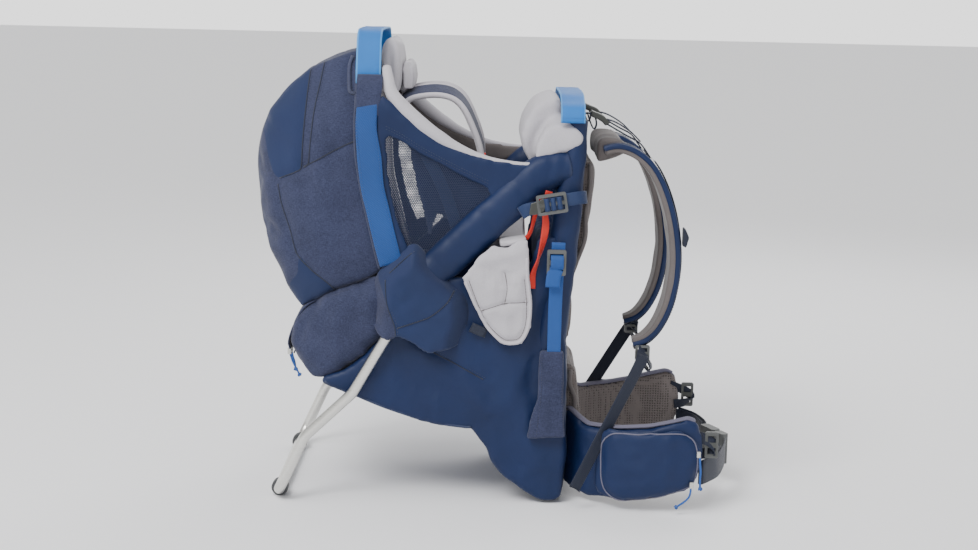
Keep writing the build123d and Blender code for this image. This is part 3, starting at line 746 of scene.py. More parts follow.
def bag_taper(x, y, z):
    """The bag narrows towards its back and its top."""
    narrow = min(max((-0.215 - x) / 0.15, 0), 1.1) ** 2.0 * 0.42
    top = min(max((z - 0.56) / 0.115, 0), 1.1) ** 1.6 * 0.30
    return x, y * (1 - narrow) * (1 - top), z


def pocket_taper(x, y, z):
    narrow = min(max((-0.215 - x) / 0.12, 0), 1.1) ** 2.0 * 0.28
    return x, y * (1 - narrow), z


bag = remesh(prisms("rear_bag_fabric", [(BAG, -147, 147)]), 0.0065, 7, bag_taper)
pocket = remesh(prisms("lower_pocket_fabric", [(POCKET, -150, 150)]), 0.006, 6, pocket_taper)

PAD = [
    (38, 508), (27, 530), (25, 548), (32, 570), (48, 592), (64, 600), (80, 606), (88, 593), (83, 585),
    (77, 581), (81, 576), (106, 572), (118, 562), (118, 554), (106, 545), (79, 533), (50, 518),
]


def pad_taper(x, y, z):
    """The drool pad's two ends droop a little."""
    t = abs(y) / 0.112
    return x, y, z - 0.004 * t**3


LOBE = [
    (50, 520), (79, 531), (108, 543), (124, 552), (126, 563), (112, 574), (84, 577), (66, 570), (52, 545),
]
drool = remesh(prisms("drool_pad_stuffed", [(PAD, -112, 112), (LOBE, -149, 149)]), 0.0045, 12, pad_taper)

TALL = [
    (-186, 604), (-182, 655), (-177, 684), (-168, 690), (-159, 682), (-155, 660), (-153, 632),
    (-156, 606),
]
SHORT = [(-151, 612), (-152, 640), (-149, 652), (-142, 655), (-136, 646), (-133, 628), (-136, 612)]


def head_taper(x, y, z):
    lift = min(max((z - 0.62) / 0.07, 0), 1)
    return x, y * (1 - 0.22 * lift**2), z


tall = remesh(prisms("headrest_tall_pad", [(TALL, -76, 76)]), 0.0045, 6, head_taper)
short = remesh(prisms("headrest_short_pad", [(SHORT, -60, 60)]), 0.004, 5, head_taper)

BACK = [
    (103, 238), (109, 262), (110, 302), (103, 325), (103, 334), (110, 345), (121, 368), (133, 440),
    (138, 500), (134, 518), (124, 516), (118, 500), (112, 420), (99, 318), (98, 238),
]
BACK_PARTS = [(BACK, -104, -12), (BACK, 12, 104), (BACK[7:13], -20, 20)]
back_pad = remesh(prisms("back_pad_stuffed", BACK_PARTS), 0.005, 5)
LUMBAR = [(104, 30), (124, 34), (127, 78), (126, 120), (118, 196), (104, 204)]
lumbar = remesh(prisms("lumbar_pad_stuffed", [(LUMBAR, -82, 82)]), 0.005, 6)
YOKE = [(142, 512), (141, 541), (150, 548), (172, 546), (187, 538), (184, 526), (166, 520), (154, 514)]
yoke = remesh(prisms("yoke_pad_stuffed", [(YOKE, -95, 95)]), 0.0045, 5)
TONGUE = [
    (-54, 345), (-37, 306), (-19, 273), (3, 249), (18, 245), (36, 249), (48, 272), (50, 308), (45, 343),
    (43, 380), (41, 403), (26, 403), (12, 391), (-12, 394), (-34, 372),
]
tongue = remesh(prisms("seat_side_R_pad", [(TONGUE, -170.5, -165.2)]), 0.003, 3)
CHILD_BACK = [
    (-158, 352), (-168, 352), (-186, 420), (-191, 500), (-192, 618), (-182, 618), (-180, 500),
    (-172, 420),
]
child_back = remesh(prisms("child_back_pad", [(CHILD_BACK, -112, 112)]), 0.006, 4)

# Hip wings and pockets: sections along a plan route
WING_PLAN = [(112, -86), (130, -118), (156, -138), (200, -156), (252, -166), (308, -162)]
WING_TOP = [(104, 140), (140, 121), (184, 122), (228, 128), (286, 142), (302, 134), (313, 90)]
WING_LOW = [(104, 18), (143, 8), (188, 6), (232, 13), (291, 31), (305, 56), (313, 88)]


def section(centre, along, half_wide, low, high, power=0.45, count=14):
    """An upright rounded section at a plan point."""
    out = np.array((along[1], -along[0], 0))
    ring = []
    for a in np.linspace(0, 2 * math.pi, 2 * count, endpoint=False):
        c, s = rounded(a, power)
        v = (low + high) / 2 + s * (high - low) / 2
        ring.append(np.array((centre[0], centre[1], 0)) + out * (c * half_wide) + np.array((0, 0, v)))
    return ring


def upright(name, plan, top, low, thick, stations=26, power=0.45):
    """A standing band along a plan route, with its top and bottom edges as lines of (X, Z)."""
    line = resample(np.array(plan) * MM, count=stations)
    along = np.gradient(line, axis=0)
    along /= np.linalg.norm(along, axis=1)[:, None]
    top, low = np.array(top) * MM, np.array(low) * MM
    rings = []
    for p, way in zip(line, along):
        z1, z2 = np.interp(p[0], low[:, 0], low[:, 1]), np.interp(p[0], top[:, 0], top[:, 1])
        rings += section(p, way, thick / 2, z1, max(z2, z1 + 0.004), power)
    rings = np.array(rings)
    return new_mesh(name, rings, skin(rings.reshape(stations, -1, 3)))


wing = remesh(upright("hip_wing_R_pad", WING_PLAN, WING_TOP, WING_LOW, 0.014), 0.005, 3)
POCKET_PLAN = [(152, -150), (175, -163), (205, -174), (250, -181), (304, -176)]
POCKET_TOP = [(150, 104), (156, 116), (168, 123), (212, 125), (271, 128), (296, 115), (305, 88)]
POCKET_LOW = [(150, 40), (157, 20), (187, 11), (231, 17), (289, 36), (302, 58), (305, 84)]
hip_pocket = remesh(upright("hip_pocket_pad", POCKET_PLAN, POCKET_TOP, POCKET_LOW, 0.013), 0.0045, 3)

simulate([
    (bag, 0.004, 4), (pocket, 0.005, 4), (drool, 0.006, 5), (tall, 0.003, 4), (short, 0.003, 4),
    (back_pad, 0.003, 4), (lumbar, 0.003, 4), (yoke, 0.003, 4), (child_back, 0.002, 4),
    (wing, 0.003, 4), (hip_pocket, 0.004, 4),
])

# ------------------------------------------------------------------ rear bag
STRIP_SEAM = [(-263, 651), (-268, 620), (-275, 581), (-280, 537), (-283, 505), (-290, 498)]
PANEL_EDGE = [(-283, 640), (-287, 595), (-291, 546), (-294, 500), (-300, 492), (-327, 480)]
DIAGONAL = [(-290, 499), (-270, 510), (-248, 523), (-229, 533), (-216, 539)]
REAR_SEAM = [(-330, 471), (-324, 442), (-310, 403), (-300, 370), (-279, 348), (-257, 331), (-238, 313)]
ZIP_FLAP = [(-222, 660), (-226, 645), (-225, 621), (-223, 610), (-215, 607)]
FRONT_EDGE = [
    (-215, 640), (-214, 597), (-215, 564), (-213, 520), (-205, 470), (-196, 430), (-184, 380),
    (-176, 350),
]
SMOOTH_TOP = [
    (-283, 670), (-287, 595), (-291, 546), (-294, 500), (-300, 492), (-330, 480), (-345, 509),
    (-354, 548), (-372, 580), (-380, 700), (-300, 700),
]
SMOOTH_LOW = [
    (-297, 366), (-279, 348), (-257, 331), (-236, 310), (-262, 296), (-300, 262), (-312, 318),
    (-299, 340),
]
BAG_FOLDS = [[(-240, 600), (-244, 560), (-232, 545)], [(-250, 480), (-225, 470)], [(-300, 440), (-262, 400)]]
press(bag, [STRIP_SEAM, PANEL_EDGE, DIAGONAL, REAR_SEAM, ZIP_FLAP], 0.006, 0.0028)
press(bag, BAG_FOLDS, 0.02, -0.0025)
crumple(bag, 0.06, 0.005, (1, 1, 0.7), 3)
panel(bag, [SMOOTH_TOP, SMOOTH_LOW])
dress(bag, "bag", "frame", ["rear_bag"], subdivide=1)
bag_tree = bvh(bag)
for name, line in [("strip", STRIP_SEAM), ("panel", PANEL_EDGE), ("diagonal", DIAGONAL), ("rear", REAR_SEAM)]:
    seam("bag_seam_" + name, bag_tree, line)
seam("bag_zip_flap", bag_tree, ZIP_FLAP, "melange", 0.006, (0.004, -0.001, 0))
welt("bag_front_piping", laid_on(bag_tree, FRONT_EDGE), "frame", "melange", 0.005)

# ------------------------------------------------------------------ lower pocket
POCKET_SEAM = [(-257, 190), (-227, 203), (-201, 221), (-177, 242), (-162, 255)]
press(pocket, [[(-178, 330), (-190, 300), (-188, 270)], [(-230, 300), (-225, 270)]], 0.022, -0.003)
press(pocket, [[(-268, 296), (-284, 268), (-296, 240)]], 0.005, 0.003)
crumple(pocket, 0.05, 0.005, seed=5)
dress(pocket, "melange", "frame", ["lower_pocket"], subdivide=1)
stitch([p + (0.001, 0, 0.004) for p in laid_on(bvh(pocket), POCKET_SEAM)], "frame")
FLAP_LINE = [(-262, 303), (-287, 290), (-304, 262), (-314, 234), (-312, 221)]
FLAP_WIDTH = [0.25, 0.262, 0.25, 0.236, 0.228]
flap = sweep("pocket_zip_flap", side(FLAP_LINE, 0), FLAP_WIDTH, 0.004)
crumple(flap, 0.03, 0.0012, seed=2)
dress(flap, "melange", "frame")
ZIP_LINE = [(-304, -112, 219), (-307, -60, 216), (-308, 0, 215), (-307, 60, 216), (-304, 112, 219)]
strap("pocket_zip", metres(ZIP_LINE), 0.010, 0.002, "dark", wide=(0.5, 0, 1), mirror=False)

# ------------------------------------------------------------------ lower body
BODY = [
    (-172, 340), (-170, 290), (-160, 262), (-192, 222), (-226, 196), (-262, 182), (-225, 166),
    (-166, 142), (-98, 121), (-50, 114), (-36, 114), (-24, 100), (-10, 84), (-3, 63), (9, 47), (41, 22),
    (63, 7), (74, 3.5), (92, 3.5), (102, 10), (104, 40), (102, 235), (90, 300), (88, 368), (84, 406),
    (56, 406), (40, 342), (-60, 342), (-100, 346), (-140, 350),
]
INNER = [
    (-164, 380), (-162, 290), (-152, 262), (-184, 218), (-220, 190), (-240, 182), (-222, 174),
    (-164, 150), (-98, 129), (-32, 122), (-16, 106), (-2, 88), (5, 68), (16, 53), (46, 30), (66, 15),
    (74, 11.5), (90, 11.5), (94, 16), (96, 40), (94, 232), (62, 300), (56, 350), (56, 460), (48, 460),
    (30, 360), (-60, 360),
]
body = prisms("lower_body_fabric", [(BODY, -150, 150)])
body = remesh(carve(body, prisms("hollow", [(INNER, -142, 142)])), 0.0042, 4)
SIDE_SEAM = [(-147, 270), (-123, 249), (-100, 232), (-60, 212), (-20, 190)]
HUB_SEAM = [(-148, 268), (-120, 282), (-100, 290), (-72, 302)]
press(body, [SIDE_SEAM, HUB_SEAM], 0.005, 0.002)
press(body, [
    [(-60, 330), (-56, 260), (-40, 190), (-20, 140)], [(20, 230), (30, 170), (50, 110), (60, 60)],
    [(60, 420), (52, 340), (40, 240)], [(-120, 230), (-60, 180), (-10, 150)],
    [(-200, 186), (-120, 160), (-50, 140)], [(-3, 250), (10, 200), (16, 150)],
], 0.016, -0.0035)
press(body, [[(-20, 130), (6, 100), (30, 60)], [(70, 300), (56, 230), (50, 180)]], 0.012, 0.003)
crumple(body, 0.06, 0.0055, (1, 1, 0.5), 8)
crumple(body, 0.022, 0.0014, (1, 1, 0.7), 9)
dress(body, "navy", "frame", ["lower_body"], subdivide=1)
body_tree = bvh(body)
for name, line in [("side", SIDE_SEAM), ("hub", HUB_SEAM)]:
    seam("body_seam_" + name, body_tree, line, "seam", 0.0014, (0.002, 0, 0.003))
EDGE = [(-256, 181), (-225, 168), (-166, 144), (-98, 123.5), (-50, 116.5), (-37, 116)]
welt("body_edge", side(EDGE, -148), "frame", "navy", 0.005)

# ------------------------------------------------------------------ hub covers, with a flap over the leg
COVER = [
    (-178, 346), (-152, 370), (-126, 391), (-102, 368), (-72, 338), (-50, 318), (-44, 280), (-56, 246),
    (-80, 238), (-103, 234), (-123, 246), (-147, 256), (-158, 251), (-172, 255), (-184, 276), (-183, 312),
]
COVER_ROOM = [(-176, 150), (-174, 300), (-150, 340), (-126, 344), (-104, 328), (-84, 290), (-88, 150)]
COVER_EDGE = resample(np.array(COVER[14:] + COVER[:8]) * MM, 0.004)


def pillow(o, edge, base, rise, flat):
    """Slopes a side piece down to its edges, from its full height to the Y called base."""
    co = points_of(o)
    t = np.clip(distance_to(edge, co[:, [0, 2]]) / rise, 0, 1)
    t = flat + (1 - flat) * np.sin(t * math.pi / 2)
    co[:, 1] = -(base + (np.abs(co[:, 1]) - base) * t)
    move(o, co)


smooth_cover = [tuple(p) for p in resample(COVER, 5, closed=True)]
cover = prisms("hub_covers_fabric", [(smooth_cover, -180, -146)])
cover = remesh(carve(cover, prisms("room", [(COVER_ROOM, -175.5, -140)])), 0.0034, 3)
pillow(cover, COVER_EDGE, 0.147, 0.028, 0.08)
press(cover, [[(-120, 380), (-112, 350), (-84, 330)], [(-150, 350), (-140, 320)]], 0.008, -0.002)
crumple(cover, 0.04, 0.003, seed=4)
FLAT_PART = [
    (-178, 352), (-152, 374), (-126, 398), (-90, 372), (-20, 336), (-30, 220), (-150, 220), (-150, 262),
    (-163, 303),
]
panel(cover, [FLAT_PART])
dress(cover, "bag", "frame", ["hub_covers"], mirror=True, subdivide=1)
cover_tree = bvh(cover)
for n, line in enumerate([
    [(-166, 340), (-163, 306), (-151, 272), (-150, 250)],
    [(-148, 270), (-124, 278), (-100, 288), (-78, 306), (-66, 324)],
    [(-160, 350), (-128, 380)],
]):
    seam(f"hub_cover_seam_{n}", cover_tree, line, "seam", 0.0014)

# ------------------------------------------------------------------ cockpit sides
WALL = [
    (-184, 604), (-174, 606), (-142, 583), (-104, 553), (-63, 531), (-22, 517), (24, 512), (50, 512),
    (62, 500), (52, 488), (-17, 420), (-100, 340), (-172, 344), (-180, 420), (-188, 500),
]
WINDOW = [
    (-169, 549), (-147, 541), (-112, 520), (-68, 498), (-22, 476), (-14, 462), (-30, 440), (-96, 362),
    (-128, 368), (-152, 426), (-167, 496),
]
wall = prisms("cockpit_wall_R_fabric", [(WALL, -152, -147)])
wall = remesh(carve(wall, prisms("hole", [(WINDOW, -170, -130)])), 0.003, 3)
press(wall, [[(-165, 580), (-110, 545), (-60, 520), (0, 505)]], 0.014, -0.002, 0.2)
crumple(wall, 0.045, 0.003, seed=6)
wall_L = other_side(wall, "cockpit_wall_L_fabric")
dress(wall, "navy", "frame", ["cockpit_walls"], subdivide=1)
dress(wall_L, "navy", "frame", subdivide=1)
on = laid_on(bvh(wall), [(-168, 558), (-147, 548), (-112, 527), (-68, 505), (-20, 483)])
stitch(on, "frame")
stitch([p + (0, 0, 0.004) for p in on], "frame")
lining = [(x, z) for x, z in WALL[:9]] + [(-18, 484), (-66, 506), (-110, 528), (-150, 550), (-186, 560)]
inner_wall = remesh(prisms("cockpit_lining", [(lining, -146.5, -141)]), 0.0035, 3)
crumple(inner_wall, 0.04, 0.002, seed=7)
dress(inner_wall, "warm", "frame", mirror=True, subdivide=1)
# A dark navy sheet just inside each wall, behind the window net, leaving only a strip of the net clear:
# painted shade, standing in for the shaded inside of the cockpit.
SHADE = [
    (-140, 556), (-112, 536), (-66, 510), (-12, 488), (0, 470), (-30, 436), (-64, 402), (-74, 424),
    (-92, 436), (-100, 418), (-103, 396), (-114, 440), (-128, 490),
]
painted_shade_sheet = remesh(prisms("cockpit_painted_shade_R", [(SHADE, -134, -130.5)]), 0.003, 3)
crumple(painted_shade_sheet, 0.04, 0.004, seed=30)
painted_shade_sheet_L = other_side(painted_shade_sheet, "cockpit_painted_shade_L")
for o, hangs_from in ((painted_shade_sheet, wall), (painted_shade_sheet_L, wall_L)):
    dress(o, "navy", "frame")
INNER_WEB = [(-120, 540), (-84, 470), (-62, 410)]
strap("cockpit_inner_web", side(INNER_WEB, -137.5), 0.018, 0.0018, "deep", wide=(1, 0.05, 0))


def net(name, outline, y, pitch):
    """A hexagonal net inside an outline, as real threads."""
    edge = np.array(outline, float) * MM
    low, high = edge.min(0), edge.max(0)
    verts, faces, index = [], [], {}
    r = pitch / math.sqrt(3)
    rows = int((high[1] - low[1]) / (1.5 * r)) + 1
    columns = int((high[0] - low[0]) / pitch) + 1
    for row in range(rows):
        for column in range(columns):
            cx = low[0] + column * pitch + (row % 2) * pitch / 2
            cz = low[1] + row * 1.5 * r
            if not within(edge, np.array([[cx, cz]]))[0]:
                continue
            face = []
            for k in range(6):
                a = math.pi / 6 + k * math.pi / 3
                x, z = cx + r * math.cos(a), cz + r * math.sin(a)
                key = (round(x / r * 2), round(z / r * 2))
                if key not in index:
                    index[key] = len(verts)
                    sag = 0.0016 * math.sin(x * 60) * math.cos(z * 55)
                    verts.append((x, y + sag, z))
                face.append(index[key])
            faces.append(tuple(face))
    o = new_mesh(name, verts, faces)
    m = o.modifiers.new("threads", "WIREFRAME")
    m.thickness = 0.00095
    m.use_even_offset = False
    bake(o)
    return o


NET = [
    (-173, 556), (-147, 547), (-112, 526), (-68, 504), (-18, 482), (-8, 462), (-24, 434), (-92, 354),
    (-132, 360), (-158, 426), (-173, 496),
]
window = net("window_net_R", NET, -0.1485, 0.0029)
window_L = other_side(window, "window_net_L")
dress(window, "net", "frame", ["window_meshes"])
dress(window_L, "net", "frame")

RIM = [
    (-171, -126, 648), (-168, -135, 632), (-163, -142, 612), (-147, -146, 592), (-112, -147, 562),
    (-69, -147, 535), (-25, -147, 518), (24, -147, 511), (48, -147, 511),
]
RIM_SIZE = [0.012, 0.018, 0.021, 0.021, 0.018, 0.013, 0.010, 0.007, 0.006]
rim = sweep("rim_rolls", metres(RIM), RIM_SIZE, RIM_SIZE, kind="round", step=0.005, count=8)
crumple(rim, 0.03, 0.0012, seed=9)
dress(rim, "grey", "frame", ["rim_pipings"], mirror=True, subdivide=1)

# ------------------------------------------------------------------ padded sleeves on the tubes
ARM = [
    (-134, -146, 316), (-114, -144, 336), (-72, -143, 374), (-22, -142, 423), (20, -139, 462),
    (50, -136, 492), (78, -133, 503), (101, -130, 507),
]
ARM_SIZE = [0.046, 0.053, 0.055, 0.055, 0.054, 0.048]
ARM_CREASES = [
    [(66, 488), (74, 520)], [(90, 480), (92, 530)], [(-96, 368), (-72, 340)], [(-30, 440), (-4, 414)],
    [(20, 486), (40, 458)],
]
arm = sweep("arm_sleeves_pad", metres(ARM), 0.043, ARM_SIZE, kind="padded", step=0.005, count=12)
crumple(arm, 0.05, 0.003, seed=11)
crumple(arm, 0.016, 0.0012, (1, 0.5, 1), 12)
press(arm, ARM_CREASES, 0.006, 0.0016, -1)
dress(arm, "navy", "frame", ["arm_sleeves"], mirror=True, subdivide=1)
UPRIGHT = [
    (78, 232), (79, 260), (84, 310), (89, 350), (96, 415), (101, 475), (108, 525), (111, 560), (112, 578),
]
UPRIGHT_SIZE = [0.046, 0.046, 0.044, 0.044, 0.042, 0.042, 0.036, 0.028, 0.024]
UPRIGHT_WIDTH = [s * 1.04 for s in UPRIGHT_SIZE]
upright_line = side(UPRIGHT, -131)
upright_sleeve = sweep(
    "upright_sleeves_pad", upright_line, UPRIGHT_WIDTH, UPRIGHT_SIZE, kind="round", step=0.005, count=12
)
crumple(upright_sleeve, 0.035, 0.0035, (1, 1, 0.6), 12)
dress(upright_sleeve, "navy", "frame", ["upright_sleeves"], mirror=True, subdivide=1)

# ------------------------------------------------------------------ head and front pads
crumple(drool, 0.05, 0.0016, seed=13)
dress(drool, "grey", "frame", ["drool_pad"], subdivide=1)
press(tall, [[(-170, 600), (-169, 640), (-168, 676)]], 0.0025, 0.004, 0.2)
press(short, [[(-143, 606), (-143, 630), (-143, 648)]], 0.002, 0.0035, 0.2)
dress(crumple(tall, 0.05, 0.001, seed=14), "grey", "frame", ["headrest_tall"], subdivide=1)
dress(crumple(short, 0.05, 0.001, seed=15), "grey", "frame", ["headrest_child"], subdivide=1)
crumple(child_back, 0.05, 0.0016, seed=16)
dress(child_back, "grey", "frame", ["child_back_panel"], subdivide=1)

# ------------------------------------------------------------------ handles and side straps
def handle(name, x, half, width, node):
    """A webbing arch across Y. Its feet are sewn down."""
    route = half + [(-y, z) for y, z in reversed(half)]
    o = sweep(name, metres([(x, y, z) for y, z in route]), width, 0.0034, (1, 0, 0))
    crumple(o, 0.05, 0.0008, seed=1)
    dress(o, "handle", "frame", [node])


REAR_ARCH = [(-129, 622), (-129, 645), (-121, 676), (-111, 690), (-94, 698), (-50, 700)]
FRONT_ARCH = [(-150, 573), (-150, 584), (-142, 595), (-118, 603), (-92, 610), (-50, 611.5)]
handle("rear_handle_web", -197, REAR_ARCH, 0.037, "rear_handle")
handle("front_handle_web", 102, FRONT_ARCH, 0.036, "front_handle")
for x, y, z, wide in [(-197, -131.2, 626, 15), (-197, -131.2, 631, 15), (102, -152.2, 580, 15)]:
    stitch([((x + d) * MM, y * MM, z * MM) for d in (-wide, 0, wide)], "frame", "blue_thread")
TAB = [(-195.5, -150.5, 578), (-195, -150.5, 600), (-194, -147, 622), (-194, -133.5, 634)]
strap("rear_tab", metres(TAB), [0.034, 0.036, 0.038, 0.038], 0.005, "melange", wide=(1, 0, 0))
STRAP = [
    (-197, -151.5, 594), (-197.5, -154.5, 557), (-193, -156, 520), (-187.5, -156.5, 474),
    (-180, -156, 443), (-169, -155, 398), (-159, -153, 360),
]
STRAP_WIDTH = [0.030, 0.031, 0.036, 0.034, 0.034, 0.034, 0.034]
strap("side_strap_webs", metres(STRAP), STRAP_WIDTH, 0.003, "blue", wide=(1, 0, 0.2), node="side_straps")
for edge in (-14, 14):
    line = resample(metres([(x + edge, y - 1.9, z) for x, y, z in STRAP]), 0.01)
    stitch(line[2:-2], "frame", "blue_thread")

# ------------------------------------------------------------------ child's harness
CHILD = [
    (-178, 560), (-152, 592), (-132, 606), (-92, 610), (-64, 598), (-44, 564), (-30, 520), (-34, 470),
    (-60, 430),
]
child_route = [(x * MM, -0.051, z * MM) for x, z in CHILD]
child_wide = (0, 1, 0.3)
child = sweep("child_straps", child_route, 0.040, 0.008, child_wide, step=0.005)
crumple(child, 0.03, 0.001, seed=17)
dress(child, "melange", "frame", ["child_harness"], mirror=True, subdivide=1)
line = resample(child_route, 0.008)
_, wides, outs = frames(line, child_wide)
for n, edge in enumerate((-0.021, 0.021)):
    roll(f"child_strap_edge_{n}", line + wides * edge, (0.008, 0.009), "binding", wide=child_wide)
strap("child_strap_lining", line - outs * 0.0048, 0.036, 0.003, "binding", wide=child_wide, step=0.006)
RED_TAG = [(-30, -72, 520), (-31, -73, 506)]
strap("red_tag", metres(RED_TAG), 0.012, 0.0015, "red", wide=(1, 0, 0), mirror=False)
CLIP = [(-47, 438), (-46, 466), (-38, 466), (-37, 438)]
dress(remesh(prisms("child_clip", [(CLIP, -20, 20)]), 0.002, 3), "plastic", "frame")

# ------------------------------------------------------------------ child's seat
TONGUE_IN = [
    (-44, 341), (-30, 306), (-15, 277), (6, 257), (18, 254), (32, 258), (40, 278), (41, 308), (37, 345),
]
CROSS = [(-27, 296), (8, 308), (41, 311)]
CENTRE = [(8, 354), (12, 331), (9, 308)]
press(tongue, [TONGUE_IN, CROSS, CENTRE], 0.0035, 0.003)
GATHERS = []
for x in (-20, -12, -4, 2, 7, 13, 19, 27):
    away = abs(x - 8)
    GATHERS.append([(x, 352 + away * 0.3), (x * 0.93 + 1, 336 - away * 0.2)])
TONGUE_FOLDS = [
    [(-10, 334), (-8, 302)], [(26, 340), (26, 314)], [(10, 296), (14, 266)], [(-26, 372), (30, 384)],
]
press(tongue, GATHERS, 0.0022, 0.0014)
press(tongue, TONGUE_FOLDS, 0.009, -0.003)
crumple(tongue, 0.03, 0.0016, seed=18)
dress(tongue, "grey", "seat", ["child_seat"], mirror=True, subdivide=1)
tongue_tree = bvh(tongue)
TONGUE_EDGE = [
    (-50, 340), (-34, 306), (-17, 275), (4, 253), (18, 249.5), (34, 253), (44, 274), (46, 308), (42, 343),
    (40, 378),
]
edge = laid_on(tongue_tree, TONGUE_EDGE, lift=-0.001)
roll("seat_binding", edge, (0.010, 0.006), "binding", "seat", (0.01, 1, 0.01), 0.004)
for n, line in enumerate((CROSS, CENTRE, TONGUE_IN)):
    welt(f"seat_seam_{n}", laid_on(tongue_tree, line, lift=-0.0002), "seat", "warm", 0.0012)
    stitch(laid_on(tongue_tree, line), "seat", "pale_thread")
SADDLE_HALF = [(19, -167, 397), (19, -150, 400), (19, -126, 399), (19, -60, 384)]
SADDLE = SADDLE_HALF + [(19, 0, 378)] + [(x, -y, z) for x, y, z in reversed(SADDLE_HALF)]
saddle = sweep("seat_saddle", metres(SADDLE), 0.040, 0.009, (1, 0, 0.15), step=0.006)
crumple(saddle, 0.04, 0.0015, seed=19)
dress(saddle, "grey", "seat", subdivide=1)
SEAT_TAB = [(-40, 271), (-28, 266), (-17, 262)]
strap("seat_tab", side(SEAT_TAB, -162), 0.015, 0.002, "dark", "seat", (0.35, 0, 1))

# ------------------------------------------------------------------ stirrups, side buckles and red adjusters
STIRRUP = [(62, 239), (98, 239), (99, 160), (103, 107), (47, 105), (51, 133), (61, 164)]
STIRRUP_WEB = [(83, 165.5, 236), (83, 165.5, 300), (84, 165.5, 350), (85, 165.5, 371), (85.5, 165.5, 400)]
STIRRUP_FOLD = [
    (84, 166, 383), (84, 171, 381), (84, 174, 376), (84, 174.4, 371), (84, 174, 366), (84, 171, 361),
    (84, 166, 359),
]
STIRRUP_TAIL = [(83, 171, 362), (80, 173, 354), (78.5, 174.5, 346), (78, 176, 335)]


def stirrup(letter, sign, body_name):
    """A stirrup's sleeve and its webbing, folded through the ladder lock. The sign is that of its Y."""
    lows = sorted((sign * 167, sign * 158))
    sleeve = remesh(prisms("stirrup_sleeve_" + letter, [(STIRRUP, *lows)]), 0.0032, 3)
    crumple(sleeve, 0.03, 0.0018, (1, 1, 0.5), 20)
    dress(sleeve, "melange", body_name, ["stirrup_" + letter], subdivide=1)
    for part, route, width, thick, wide, step in [
        ("web", STIRRUP_WEB, 0.020, 0.002, (1, 0, 0), 0.004),
        ("fold", STIRRUP_FOLD, 0.019, 0.002, (1, 0, 0), 0.002),
        ("tail", STIRRUP_TAIL, 0.021, 0.0026, (1, 0, 0.05), 0.003),
    ]:
        line = metres([(x, sign * y, z) for x, y, z in route])
        piece = f"stirrup_{part}_{letter}"
        strap(piece, line, width, thick, "tape", body_name, wide, mirror=False, step=step)
    for dx in (-17, 17):
        row = [(81 + dx * share, sign * 167.6, z) for share, z in ((0.9, 232), (0.9, 170), (1.2, 112))]
        stitch(metres(row), body_name)


stirrup("R", -1, "stirrup_right")
stirrup("L", 1, "stirrup_left")

BUCKLE_WEB = [
    (29, -164.5, 441), (38, -168, 447), (58, -168.5, 452), (80, -168.5, 460), (100, -168, 464),
    (113, -164, 466), (121, -156, 466), (125, -146, 465),
]
BUCKLE_WIDE = (-0.17, 0, 1)
BUCKLE_FOLD = [(-4, 169), (-2.4, 173), (0, 174.6), (2.4, 173), (4, 169)]
strap("side_buckle_web", metres(BUCKLE_WEB), 0.019, 0.002, "deep", wide=BUCKLE_WIDE, node="side_webbings",
      step=0.003)
for n, (x, z) in enumerate([(67, 455.3), (76, 457), (85, 458.6)]):
    route = [(x + dx, -y, z + dx * 0.17) for dx, y in BUCKLE_FOLD]
    strap(f"side_buckle_fold_{n}", metres(route), 0.019, 0.002, "deep", wide=BUCKLE_WIDE, step=0.0015)
BUCKLE_PLATE = [(41, 440), (43, 457), (56, 462), (62, 466), (66, 462), (64, 447), (58, 443), (50, 440)]
buckle_plate = remesh(prisms("side_buckle_tongue", [(BUCKLE_PLATE, -172.5, -168.2)]), 0.0015, 3)
dress(buckle_plate, "plastic", "frame", mirror=True)
RED = [
    (70, -158, 474), (64, -158, 450), (66, -158, 425), (63, -159, 400), (56, -160, 372), (49, -160, 350),
    (48, -160, 330),
]
RED_WIDE = [
    (0.9, 0.3, 0), (0.5, 0.8, 0), (0.95, 0.2, 0.1), (0.7, 0.7, 0), (0.3, 0.95, 0), (0.8, 0.5, 0.2),
    (0.9, 0.2, 0),
]
RED_PULL = [(55, -154, 462), (49, -155, 433), (45, -155, 415), (38, -155, 403)]
RED_PULL_WIDE = [(0.6, 0.8, 0), (0.9, 0.2, 0), (0.5, 0.8, 0), (0.9, 0.3, 0)]
strap("red_adjusters", metres(RED), 0.011, 0.0018, "red", wide=RED_WIDE, node="seat_adjust_webbing",
      step=0.003)
strap("red_pulls", metres(RED_PULL), 0.007, 0.0018, "red", wide=RED_PULL_WIDE, step=0.003)

# ------------------------------------------------------------------ back panel
crumple(back_pad, 0.05, 0.0014, seed=21)
dress(back_pad, "holes", "frame", ["back_pad"], subdivide=1)
crumple(lumbar, 0.05, 0.0014, seed=22)
dress(lumbar, "holes", "frame", ["lumbar_pad"], subdivide=1)
for name, outline, half, z_low, z_high in [("back", BACK, 106, 250, 510), ("lumbar", LUMBAR, 84, 42, 192)]:
    xs = [(z, max(x for x, zz in outline if abs(zz - z) < 42) - 6) for z in np.linspace(z_low, z_high, 8)]
    roll(name + "_pad_edge", metres([(x, -half, z) for z, x in xs]), (0.007, 0.007), "warm", subdivide=0)

